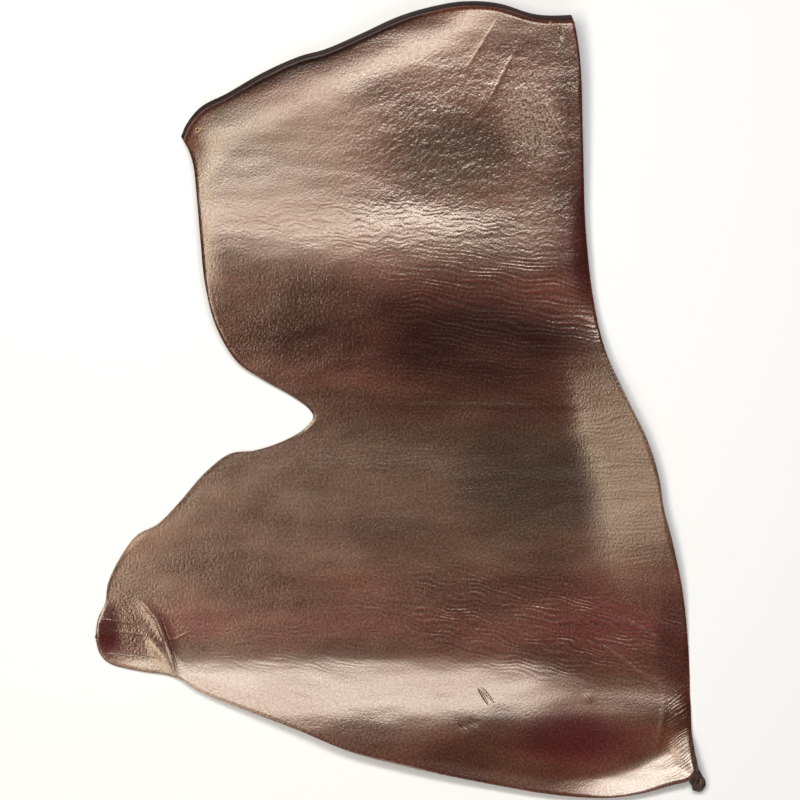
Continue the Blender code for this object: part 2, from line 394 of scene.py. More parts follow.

# Fine lines of the grain side, raised or sunk: a painted highlight where their tone is over 0, and painted
# shade under it.
STROKES = (
    Stroke(-390, -300, -362, -334, 3.0, 0.4, 0.08), Stroke(-366, -328, -352, -362, 4.5, 0.9, 0.22),
    Stroke(-354, -358, -338, -402, 4.5, 0.9, 0.22), Stroke(-358, -326, -345, -362, 3.2, -0.8, -0.55),
    Stroke(-347, -358, -332, -400, 3.2, -0.8, -0.55), Stroke(-448, -328, -394, -336, 3.0, 0.2, 0.03),
    Stroke(-434, -345, -376, -353, 3.0, 0.2, 0.03), Stroke(-342, -360, -314, -346, 3.0, 0.2, 0.03),
    Stroke(-440, -378, -366, -386, 2.6, -0.8, -0.5),
    Stroke(117, -432, 132, -455, 3.0, -0.8, -0.4), Stroke(122, -430, 140, -452, 3.0, 0.7, 0.10),
    Stroke(87, -481, 99, -491, 3.2, -1.1, -0.55), Stroke(101, -478, 116, -485, 3.2, -1.1, -0.55),
    Stroke(277, -441, 286, -452, 3.0, 1.0, 0.20), Stroke(300, -364, 394, -431, 4.0, 0.3, 0.05),
    Stroke(334, -324, 394, -358, 3.6, 0.3, 0.05), Stroke(176, 530, 124, 430, 4.6, 0.25, 0.05),
    Stroke(144, 566, 98, 492, 4.6, 0.25, 0.05), Stroke(208, 412, 210, 338, 5.0, -0.1, -0.5),
    Stroke(216, 446, 250, 382, 3.4, 0.5, 0.05), Stroke(221, 561, 224, 557, 5.0, 0.8, 0.5),
    Stroke(234, 555, 236, 552, 4.0, 0.8, 0.5), Stroke(239, 530, 237, 525, 3.6, 0.6, 0.25),
    Stroke(235, 519, 232, 515, 3.6, 0.6, 0.25), Stroke(233, 562, 242, 534, 7.0, -0.6, -0.7),
)


@dataclass(frozen=True)
class Drape:
    """The form in which the hide lies: its arch, its curled and rolled borders and its creases."""

    valley_y: float = -350.0
    profile_step: float = 2.0
    profile_reach: float = 620.0
    rest_depth: float = 1.6
    settling: float = 3.0
    lift_softness: float = 0.35
    lift_over_side_roll: float = 6.0
    top_shoulder: Roll = Roll(13, 84)
    top_roll: Roll = Roll(16, 14)
    shoulder_fade: tuple[float, float] = (30, 150)
    side_roll: Roll = Roll(4, 26)
    side_from: tuple[float, float] = (400, 250)
    flank_roll: Roll = Roll(2.2, 34)
    flank_from: tuple[float, float] = (120, 220)
    trimmed_roll: Roll = Roll(1.0, 5)

    def broad_height(self, x: Array, y: Array) -> Array:
        """The arch of the hide, blended from station to station.

        Args:
            x: the points' x.
            y: the points' y.

        Returns:
            How high each point lies over the valley.
        """
        rows = CLIMB[::-1]
        along = np.arange(-self.profile_reach, self.profile_reach + self.profile_step, self.profile_step)
        climb = spline([row.y for row in rows], [row[1:] for row in rows], along) / 100
        rise = np.cumsum((climb[1:] + climb[:-1]) / 2 * self.profile_step, axis=0)
        rise = np.concatenate([np.zeros((1, rise.shape[1])), rise])
        rise = rise - rise[np.argmin(abs(along - self.valley_y))]
        columns = [np.interp(y, along, rise[:, k]) for k in range(rise.shape[1])]
        z = columns[0]
        for k in range(len(STATION_X) - 1):
            z = z + fade(x, STATION_X[k : k + 2]) * (columns[k + 1] - columns[k])
        return z

    def border_lift(self, rows: Sequence[Lift], along: Array, distance: Array) -> tuple[Array, Array]:
        """The curl of a border.

        Args:
            rows: the curl's sizes along the border.
            along: where each point stands along it.
            distance: how far each point lies from the edge.

        Returns:
            The curl's full height at each point, and the lift of the point.
        """
        size = spline([row.along for row in rows], [row[1:] for row in rows], along)
        height = np.clip(size[:, 0], 0, None)
        t = np.clip(1 - distance / size[:, 1], 0, 1)
        soft = self.lift_softness
        ramp = np.where(t < soft, t * t / (2 * soft), t - soft / 2)
        return height, height * ramp / (1 - soft / 2)

    def settle(self, z: Array) -> Array:
        """Lays the hide flat on the floor where its shape would go below it.

        Args:
            z: the heights of the free shape.

        Returns:
            The heights, 0 or more.
        """
        z = z - self.rest_depth
        eased = np.where(z < self.settling, z * z / (2 * self.settling), z - self.settling / 2)
        return np.where(z <= 0, 0, eased)

    def height(self, x: Array, y: Array) -> Array:
        """The height of the flesh side over the floor.

        Args:
            x: the points' x.
            y: the points' y.

        Returns:
            One height for each point.
        """
        sides = [smooth_curve(edge, FORM_STEPS) for edge in (TOP_EDGE, LEFT_EDGE, RIGHT_EDGE, BOTTOM_EDGE)]
        top, left, right, bottom = (line_distance(x, y, side)[0] for side in sides)
        z = self.broad_height(x, y)
        z = z + roll_down(top, self.top_shoulder) * (1 - fade(x, self.shoulder_fade))
        z = z + roll_down(left, self.trimmed_roll)
        z = z + roll_down(left, self.flank_roll) * fade(y, self.flank_from)
        z = z + self.border_lift(BOTTOM_LIP, x, bottom)[1] + roll_down(bottom, self.trimmed_roll)
        curl, lift = self.border_lift(BORDER_LIFT[::-1], y, right)
        rolled = fade(y, self.side_from) * (1 - smooth_step(curl / self.lift_over_side_roll))
        z = z + lift + roll_down(right, self.side_roll) * rolled + roll_down(right, self.trimmed_roll)
        for swell in SWELLS:
            z = z + swell.amount * np.exp(-oval(x, y, swell))
        drop = np.clip(z - self.rest_depth, 0, self.top_roll.drop)
        z = z - drop * np.clip(1 - top / self.top_roll.width, 0, 1) ** 2
        return self.settle(z)


def roll_down(distance: Array, roll: Roll) -> Array:
    """The height lost at a rolled edge, steepest at the edge itself."""
    return -roll.drop * np.clip(1 - distance / roll.width, 0, 1) ** 2


def crease_relief(x: Array, y: Array) -> Array:
    """The creases, stretch marks and scars of the grain side.

    Args:
        x: the points' x.
        y: the points' y.

    Returns:
        How far each point stands over the plain sheet.
    """
    relief = np.zeros(x.shape)
    for crease in CREASES:
        line = smooth_curve([crease[0:2], crease[2:4], crease[4:6]], FORM_STEPS)
        middle = line.mean(axis=0)
        near = (abs(x - middle[0]) < CREASE_REACH) & (abs(y - middle[1]) < CREASE_REACH)
        distance, share = line_distance(x[near], y[near], line)
        taper = np.sqrt(np.sin(np.pi * np.clip(share, BLUNT_END, 1 - BLUNT_END)))
        relief[near] += crease.height * taper * np.exp(-((distance / crease.width) ** 2))
    return relief


class Effect(Enum):
    """What the zones of the grain side show. Each becomes an attribute of the sheet."""

    PEBBLE = "pebble"
    LENS = "lens"
    RIDGE = "ridge"
    SHEAF = "sheaf"
    RIPPLE = "ripple"
    PUCKER = "pucker"
    BURGUNDY = "burgundy"
    OLIVE = "olive"
    # A whitish haze, and a painted highlight on the rolled flap at the lower left corner.
    HAZE = "haze"
    # Painted shade: darker dye where the laid hide lies in shade.
    DARK = "dark"
    SOFT = "soft"
    SHINE = "shine"
    CLEAR = "clear"


ZONES: dict[Effect, tuple[Spot, ...]] = {
    Effect.PEBBLE: (Spot(90, 400, 190, 125, 15, 1), Spot(215, 330, 60, 90, 0, 0.8)),
    Effect.LENS: (Spot(0, 258, 270, 42, -3, 1), Spot(200, 240, 90, 50, 0, 0.7)),
    Effect.RIDGE: (Spot(150, 140, 190, 80, -6, 1), Spot(130, 40, 190, 60, 0, 0.45)),
    Effect.SHEAF: (Spot(180, -332, 250, 72, -9, 1), Spot(-200, -362, 170, 40, -4, 0.5)),
    Effect.RIPPLE: (Spot(335, -110, 75, 170, 0, 0.9), Spot(0, -130, 420, 90, 0, 0.35)),
    Effect.PUCKER: (Spot(418, -486, 24, 62, 0, 1),),
    Effect.BURGUNDY: (
        Spot(266, 235, 24, 90, 0, 0.7), Spot(248, -502, 100, 36, -4, 1), Spot(410, -370, 24, 95, 4, 0.8),
        Spot(-416, -346, 60, 38, 0, 1), Spot(-350, -335, 130, 32, 0, 0.85), Spot(262, 520, 14, 60, 0, 0.9),
        Spot(60, 100, 290, 90, 0, 0.5), Spot(120, -24, 220, 16, 0, 0.5), Spot(300, -330, 110, 60, 0, 0.7),
        Spot(0, -330, 420, 55, 0, 0.3), Spot(190, 480, 60, 30, 60, 0.4),
    ),
    Effect.OLIVE: (
        Spot(-245, 385, 40, 60, 0, 0.8), Spot(75, 360, 70, 50, 20, 0.6), Spot(50, -120, 330, 120, 0, 0.5),
    ),
    # A whitish patch near the top right, and a painted highlight on the rolled flap at the lower left corner.
    Effect.HAZE: (Spot(195, 420, 40, 60, 10, 1), Spot(-385, -393, 40, 9, -14, 1)),
    # Painted shade: the dye is darkened where the hide faces away from the lights.
    Effect.DARK: (
        Spot(110, 80, 190, 70, 0, 1), Spot(190, -90, 110, 140, 0, 0.7), Spot(150, -480, 130, 30, -6, 0.3),
        Spot(-80, 540, 260, 20, 24, 1), Spot(290, 60, 30, 90, 20, 0.5), Spot(60, -20, 240, 60, 0, 0.5),
        Spot(260, 380, 30, 160, 0, 0.5), Spot(272, 235, 22, 100, 0, 0.7), Spot(70, 390, 120, 80, 12, 0.35),
        Spot(-90, 110, 200, 70, 0, 0.8), Spot(-416, -346, 60, 38, 0, 0.5), Spot(250, -500, 90, 34, -4, 0.6),
        Spot(412, -370, 26, 90, 4, 0.6),
    ),
    Effect.SOFT: (
        Spot(-170, 380, 160, 140, 10, 0.45), Spot(20, -420, 340, 60, -4, 0.6),
        Spot(345, -130, 80, 190, 0, 0.7),
    ),
    Effect.SHINE: (
        Spot(400, -560, 110, 34, 10, 0.5), Spot(-20, -425, 330, 50, -3, 0.25),
        Spot(-270, -405, 90, 24, -20, 0.3),
    ),
    Effect.CLEAR: (
        Spot(80, 400, 180, 110, 12, 1), Spot(-80, 110, 240, 90, 0, 0.6), Spot(-400, -340, 70, 60, 0, 0.8),
    ),
}

UNEVEN = (Uneven(130, 60, 1.2), Uneven(42, 18, 0.42))

HOLES = (Hole(-301, 405, 2.3, 1.0), Hole(236, 547, 2.2, 0.4))


def zone_mask(x: Array, y: Array, zones: Sequence[Spot]) -> Array:
    """How much of an effect shows.

    Args:
        x: the points' x.
        y: the points' y.
        zones: where the effect shows.

    Returns:
        One share for each point.
    """
    mask = np.zeros(x.shape)
    for zone in zones:
        mask = np.maximum(mask, zone.amount * smooth_step(ZONE_REACH - np.sqrt(oval(x, y, zone))))
    return mask


class Wiring:
    """A node tree that is being wired."""

    def __init__(self, tree: bpy.types.NodeTree) -> None:
        """Keeps the tree."""
        self.tree = tree
        self.shades = tree.bl_idname == TreeKind.SHADER.value

    def node(self, kind: str, **settings: object) -> bpy.types.Node:
        """A new node.

        Args:
            kind: the node's type.
            settings: its settings, by name.

        Returns:
            The node.
        """
        node = self.tree.nodes.new(kind)
        for name, value in settings.items():
            setattr(node, name, value)
        return node

    def feed(self, socket: bpy.types.NodeSocket, value: object) -> None:
        """Feeds one input.

        Args:
            socket: the input.
            value: the socket that it is linked to, or else its own number, colour or thing.
        """
        if isinstance(value, bpy.types.NodeSocket):
            self.tree.links.new(value, socket)
        else:
            socket.default_value = value

    def fed(self, node: bpy.types.Node, *values: object, **named: object) -> bpy.types.Node:
        """Feeds a node's inputs.

        Args:
            node: the node.
            values: what its first inputs get, in order.
            named: what other inputs get, by name with _ for a space.

        Returns:
            The same node.
        """
        for socket, value in zip(node.inputs, values):
            self.feed(socket, value)
        for name, value in named.items():
            self.feed(node.inputs[name.replace("_", " ")], value)
        return node

    def math(self, operation: str, *values: object, clamp: bool = False) -> bpy.types.NodeSocket:
        """The result of a Math node."""
        return self.fed(self.node("ShaderNodeMath", operation=operation, use_clamp=clamp), *values).outputs[0]

    def vector(self, operation: str, *values: object) -> bpy.types.NodeSocket:
        """The result of a Vector Math node."""
        return self.fed(self.node("ShaderNodeVectorMath", operation=operation), *values).outputs[0]

    def scaled(self, vector: object, scale: object) -> bpy.types.NodeSocket:
        """A vector times a number."""
        return self.fed(self.node("ShaderNodeVectorMath", operation="SCALE"), vector, Scale=scale).outputs[0]

    def noise(
        self, place: object, scale: object, detail: float, colour: bool = False, space: str = "2D",
    ) -> bpy.types.NodeSocket:
        """A Noise Texture's value, or its colour."""
        node = self.node("ShaderNodeTexNoise", noise_dimensions=space)
        return self.fed(node, Vector=place, Scale=scale, Detail=detail).outputs[1 if colour else 0]

    def cells(self, place: object) -> bpy.types.NodeSocket:
        """How far a place is from the middle of its cell, in a plane of cells about 1 wide."""
        node = self.node("ShaderNodeTexVoronoi", voronoi_dimensions="2D")
        return self.fed(node, Vector=place, Scale=1.0).outputs["Distance"]

    def span(
        self, value: object, low: float, high: float, to_low: float = 0.0, to_high: float = 1.0,
    ) -> bpy.types.NodeSocket:
        """A value's range mapped to another, and clamped there."""
        node = self.node("ShaderNodeMapRange", clamp=True)
        return self.fed(node, value, low, high, to_low, to_high).outputs[0]

    def blend(self, share: object, first: object, second: object) -> bpy.types.NodeSocket:
        """Two colours mixed.

        Args:
            share: how much of the second colour there is.
            first: the first colour.
            second: the second colour.

        Returns:
            The mixed colour.
        """
        node = self.node("ShaderNodeMix", data_type="RGBA")
        for number, value in ((0, share), (6, first), (7, second)):
            self.feed(node.inputs[number], value)
        return node.outputs[2]

    def bent(self, height: object) -> bpy.types.NodeSocket:
        """The normal, bent by a height in mm."""
        return self.fed(self.node("ShaderNodeBump"), Distance=MM, Height=height).outputs[0]

    def named(self, name: str, data_type: str) -> bpy.types.NodeSocket:
        """One of the sheet's attributes, in a modifier's tree."""
        node = self.node("GeometryNodeInputNamedAttribute", data_type=data_type)
        return self.fed(node, Name=name).outputs["Attribute"]

    def attribute(self, name: str) -> bpy.types.NodeSocket:
        """One of the sheet's own numbers.

        Args:
            name: the attribute's name.

        Returns:
            Its value.
        """
        if self.shades:
            return self.node("ShaderNodeAttribute", attribute_name=name).outputs["Fac"]
        return self.named(name, "FLOAT")

    def plan(self) -> bpy.types.NodeSocket:
        """The place in the hide's plan.

        Returns:
            The place, in metres.
        """
        if self.shades:
            return self.node("ShaderNodeUVMap", uv_map=PLAN_MAP).outputs["UV"]
        return self.named(PLAN_MAP, "FLOAT_VECTOR")

    def group(self, tree: bpy.types.NodeTree, **values: object) -> bpy.types.Node:
        """A node group, with its inputs fed by name with _ for a space."""
        kind = "ShaderNodeGroup" if self.shades else "GeometryNodeGroup"
        return self.fed(self.node(kind, node_tree=tree), **values)


def new_group(
    name: str, kind: TreeKind, inputs: dict[str, str], outputs: dict[str, str],
) -> tuple[Wiring, bpy.types.bpy_prop_collection, bpy.types.Node]:
    """An empty node group with named sockets.

    Args:
        name: the group's name.
        kind: what kind of tree it is.
        inputs: each input's name and socket type.
        outputs: each output's name and socket type.

    Returns:
        The wiring, the sockets that give the group's inputs, and its Group Output node.
    """
    tree = bpy.data.node_groups.new(name, kind.value)
    for direction, sockets in (("INPUT", inputs), ("OUTPUT", outputs)):
        for socket, socket_type in sockets.items():
            tree.interface.new_socket(socket, in_out=direction, socket_type=socket_type)
    wiring = Wiring(tree)
    return wiring, wiring.node("NodeGroupInput").outputs, wiring.node("NodeGroupOutput")


FLOAT, WHOLE, VECTOR = "NodeSocketFloat", "NodeSocketInt", "NodeSocketVector"
COLOUR, GEOMETRY = "NodeSocketColor", "NodeSocketGeometry"


@dataclass(frozen=True)
class Wrinkle:
    """One kind of wrinkle: where it shows, its direction in degrees, and its sizes in mm.

    Its warp is how far the ridges stray, in pitches. Over 1, its crest makes them narrower than the
    troughs. Its breaks are how often they fade along their length, its gap how far, and its pads how
    much of the height is in separate soft pads.
    """

    where: Effect
    turn: float
    pitch: float
    length: float
    depth: float
    warp: float
    crest: float
    breaks: float
    gap: float
    pads: float
    seed: float


WRINKLES = (
    Wrinkle(Effect.PEBBLE, 34, 6.0, 11, 0.21, 0.8, 1.0, 1.0, 0.7, 0.9, 3.1),
    Wrinkle(Effect.LENS, -2, 7.5, 24, 0.32, 0.8, 0.9, 0.9, 0.8, 0.4, 7.7),
    Wrinkle(Effect.RIDGE, -8, 7.2, 50, 0.40, 0.7, 1.6, 1.0, 0.75, 0.15, 12.3),
    Wrinkle(Effect.SHEAF, -12, 7.0, 38, 0.46, 0.9, 1.4, 1.0, 0.8, 0.25, 21.9),
    Wrinkle(Effect.RIPPLE, 2, 7.0, 60, 0.18, 0.7, 1.2, 0.8, 0.8, 0.1, 33.4),
    Wrinkle(Effect.PUCKER, 34, 4.5, 22, 0.34, 0.6, 1.2, 0.8, 0.7, 0.0, 41.2),
)


@dataclass(frozen=True)
class RidgeShape:
    """What every kind of wrinkle shares, in its own pitches and lengths.

    The drift has so many swings to the metre. Drift and fork are how far it and the forks move a
    ridge. Forks and breaks are stretched along it. The trough is how much of a wave lies below 0,
    and the noise's span of breaks goes from a whole ridge to a gap.
    """

    drift_scale: float = 14.0
    drift: float = 1.8
    fork: float = 2.2
    fork_stretch: float = 0.3
    break_stretch: float = 0.6
    break_span: tuple[float, float] = (0.66, 0.36)
    trough: float = 0.4
    pad_height: float = 2.4


RIDGES = RidgeShape()


def wrinkle_group(kind: TreeKind) -> bpy.types.NodeTree:
    """The wrinkle pattern: rows of long ridges that stray, fork and fade.

    Args:
        kind: whether the group is for a material or for a modifier.

    Returns:
        The group. Its Height runs from about -0.4 in a trough to 0.6 on a crest.
    """
    sizes = ("Drift", "Turn", "Pitch", "Length", "Warp", "Crest", "Breaks", "Gap", "Pads", "Seed")
    inputs = {"Place": VECTOR, **dict.fromkeys(sizes, FLOAT)}
    wires, start, end = new_group(f"wrinkles_{kind.name.lower()}", kind, inputs, {"Height": FLOAT})
    turned = wires.node("ShaderNodeVectorRotate", rotation_type="Z_AXIS")
    wires.fed(turned, Vector=start["Place"], Angle=wires.math("MULTIPLY", start["Turn"], -1.0))
    cell = wires.fed(wires.node("ShaderNodeCombineXYZ"), start["Length"], start["Pitch"], 1.0)
    place = wires.vector("DIVIDE", turned.outputs[0], cell.outputs[0])
    split = wires.fed(wires.node("ShaderNodeSeparateXYZ"), place)
    seeded = wires.vector("ADD", place, start["Seed"])
    fork = wires.noise(wires.vector("MULTIPLY", seeded, (1.0, RIDGES.fork_stretch, 1.0)), 1.0, 0.0)
    fork = wires.math("MULTIPLY", wires.math("SUBTRACT", fork, 0.5), start["Warp"])
    fork = wires.math("MULTIPLY", fork, RIDGES.fork)
    stray = wires.math("MULTIPLY_ADD", start["Drift"], RIDGES.drift, fork)
    phase = wires.math("MULTIPLY", wires.math("ADD", split.outputs[1], stray), 2 * np.pi)
    wave = wires.math("MULTIPLY_ADD", wires.math("SINE", phase), 0.5, 0.5)
    wave = wires.math("SUBTRACT", wires.math("POWER", wave, start["Crest"]), RIDGES.trough)
    breaks = wires.vector("MULTIPLY", seeded, (1.0, RIDGES.break_stretch, 1.0))
    breaks = wires.span(wires.noise(breaks, start["Breaks"], 0.0), *RIDGES.break_span)
    gap = wires.math("MULTIPLY", breaks, start["Gap"])
    wave = wires.math("MULTIPLY", wave, wires.math("SUBTRACT", 1.0, gap))
    pad = wires.math("SUBTRACT", wires.noise(seeded, 1.0, 1.0), 0.5)
    pad = wires.math("MULTIPLY", pad, RIDGES.pad_height)
    ridge = wires.math("MULTIPLY", wave, wires.math("SUBTRACT", 1.0, start["Pads"]))
    wires.fed(end, Height=wires.math("MULTIPLY_ADD", pad, start["Pads"], ridge))
    return wires.tree


def all_wrinkles(wires: Wiring, group: bpy.types.NodeTree) -> bpy.types.NodeSocket:
    """The sum of every kind of wrinkle.

    Args:
        wires: the tree that needs it.
        group: the wrinkle pattern for that kind of tree.

    Returns:
        The height, in mm.
    """
    total: object = 0.0
    place = wires.plan()
    drift = wires.math("SUBTRACT", wires.noise(place, RIDGES.drift_scale, 0.0), 0.5)
    for wrinkle in WRINKLES:
        pattern = wires.group(
            group, Place=place, Drift=drift, Turn=np.radians(wrinkle.turn), Pitch=wrinkle.pitch * MM,
            Length=wrinkle.length * MM, Warp=wrinkle.warp, Crest=wrinkle.crest, Breaks=wrinkle.breaks,
            Gap=wrinkle.gap, Pads=wrinkle.pads, Seed=wrinkle.seed,
        )
        depth = wires.math("MULTIPLY", wires.attribute(wrinkle.where.value), wrinkle.depth)
        total = wires.math("MULTIPLY_ADD", pattern.outputs["Height"], depth, total)
    return total


def unevenness(wires: Wiring) -> bpy.types.NodeSocket:
    """Broad, shallow swellings of the laid hide.

    Args:
        wires: the tree that needs them.

    Returns:
        The height, in mm.
    """
    total: object = 0.0
    for width, length, height in UNEVEN:
        place = wires.vector("MULTIPLY", wires.plan(), (1 / (width * MM), 1 / (length * MM), 1.0))
        swell = wires.math("SUBTRACT", wires.noise(place, 1.0, 0.0), 0.5)
        total = wires.math("MULTIPLY_ADD", swell, height, total)
    return total


@dataclass(frozen=True)
class PoreShape:
    """The fine grain: small cells with pores between them, and specks. Its scales are in cells."""

    drift_scale: float = 0.6
    speck_scale: float = 0.9
    speck_detail: float = 2.0
    speck_height: float = 1.6
    speckle_span: tuple[float, float] = (0.35, 0.68)

    def build(self) -> bpy.types.NodeTree:
        """The group.

        Returns:
            The group, with a Height for the bump and a Speckle from 0 to 1.
        """
        wires, start, end = new_group(
            "leather_pores", TreeKind.SHADER, {"Place": VECTOR, "Cell": FLOAT},
            {"Height": FLOAT, "Speckle": FLOAT},
        )
        place = wires.scaled(start["Place"], wires.math("DIVIDE", 1.0, start["Cell"]))
        drift = wires.noise(place, self.drift_scale, 0.0, colour=True)
        cell = wires.cells(wires.vector("ADD", place, drift))
        speck = wires.noise(place, self.speck_scale, self.speck_detail)
        height = wires.math("SUBTRACT", wires.math("MULTIPLY", speck, self.speck_height), cell)
        wires.fed(end, Height=height, Speckle=wires.span(speck, *self.speckle_span))
        return wires.tree


def stroke_group() -> bpy.types.NodeTree:
    """The fine lines, each a soft oval.

    Returns:
        The group, with their Height in mm and how much painted highlight or painted shade each place gets.
    """
    wires, start, end = new_group(
        "leather_strokes", TreeKind.SHADER, {"Place": VECTOR},
        {"Height": FLOAT, "Worn": FLOAT, "Dark": FLOAT},
    )
    place = wires.vector("MULTIPLY", start["Place"], (1 / MM, 1 / MM, 0.0))
    height: object = 0.0
    tones: dict[bool, object] = {True: 0.0, False: 0.0}
    for stroke in STROKES:
        run = np.array((stroke.x2 - stroke.x1, stroke.y2 - stroke.y1))
        long, wide = float(np.hypot(*run)) * STROKE_LONG, stroke.width * STROKE_WIDE
        spot = wires.fed(
            wires.node("ShaderNodeMapping", vector_type="TEXTURE"), Vector=place,
            Location=((stroke.x1 + stroke.x2) / 2, (stroke.y1 + stroke.y2) / 2, 0.0),
            Rotation=(0.0, 0.0, float(np.arctan2(run[1], run[0]))), Scale=(long, wide, 1.0),
        ).outputs[0]
        squared = wires.vector("DOT_PRODUCT", spot, spot).node.outputs["Value"]
        mask = wires.math("SUBTRACT", 1.0, squared, clamp=True)
        height = wires.math("MULTIPLY_ADD", mask, stroke.height, height)
        # A line with a tone over 0 gets a painted highlight, the others painted shade.
        worn = stroke.tone > 0
        tones[worn] = wires.math("MULTIPLY_ADD", mask, abs(stroke.tone), tones[worn], clamp=True)
        place = wires.vector("MULTIPLY_ADD", height, (IN_TURN, IN_TURN, 0.0), place)
    wires.fed(end, Height=height, Worn=tones[True], Dark=tones[False])
    return wires.tree


@dataclass(frozen=True)
class Mottle:
    """Uneven dye: two colours mixed in clouds, drawn out along the spine."""

    stretch: tuple[float, float, float] = (0.6, 1.4, 1.0)
    detail: float = 2.5
    cloud_span: tuple[float, float] = (0.36, 0.64)

    def build(self) -> bpy.types.NodeTree:
        """The group.

        Returns:
            The group, with the mixed Color and the Cloud from 0 to 1.
        """
        wires, start, end = new_group(
            "dye_mottle", TreeKind.SHADER,
            {"Place": VECTOR, "Scale": FLOAT, "First": COLOUR, "Second": COLOUR},
            {"Color": COLOUR, "Cloud": FLOAT},
        )
        drawn = wires.vector("MULTIPLY", start["Place"], self.stretch)
        cloud = wires.span(wires.noise(drawn, start["Scale"], self.detail), *self.cloud_span)
        wires.fed(end, Color=wires.blend(cloud, start["First"], start["Second"]), Cloud=cloud)
        return wires.tree


class Groups:
    """The node groups that the finishes share."""

    def __init__(self) -> None:
        """Builds each group once."""
        self.wrinkles = wrinkle_group(TreeKind.SHADER)
        self.wrinkles_raised = wrinkle_group(TreeKind.GEOMETRY)
        self.pores = PoreShape().build()
        self.strokes = stroke_group()
        self.mottle = Mottle().build()


def rgba(colour: Colour) -> tuple[float, float, float, float]:
    """A colour with its alpha."""
    return (*colour, 1.0)


def new_material(name: str) -> tuple[bpy.types.Material, Wiring, bpy.types.Node]:
    """A new material.

    Args:
        name: its name.

    Returns:
        The material, its wiring and its Principled BSDF.
    """
    material = bpy.data.materials.new(name)
    material.use_nodes = True
    surface = material.node_tree.nodes["Principled BSDF"]
    return material, Wiring(material.node_tree), surface


class GrainNodes(NamedTuple):
    """What the grain side's material reads: three groups, and the height of the wrinkles."""

    mottle: bpy.types.Node
    pores: bpy.types.Node
    strokes: bpy.types.Node
    wrinkles: bpy.types.NodeSocket


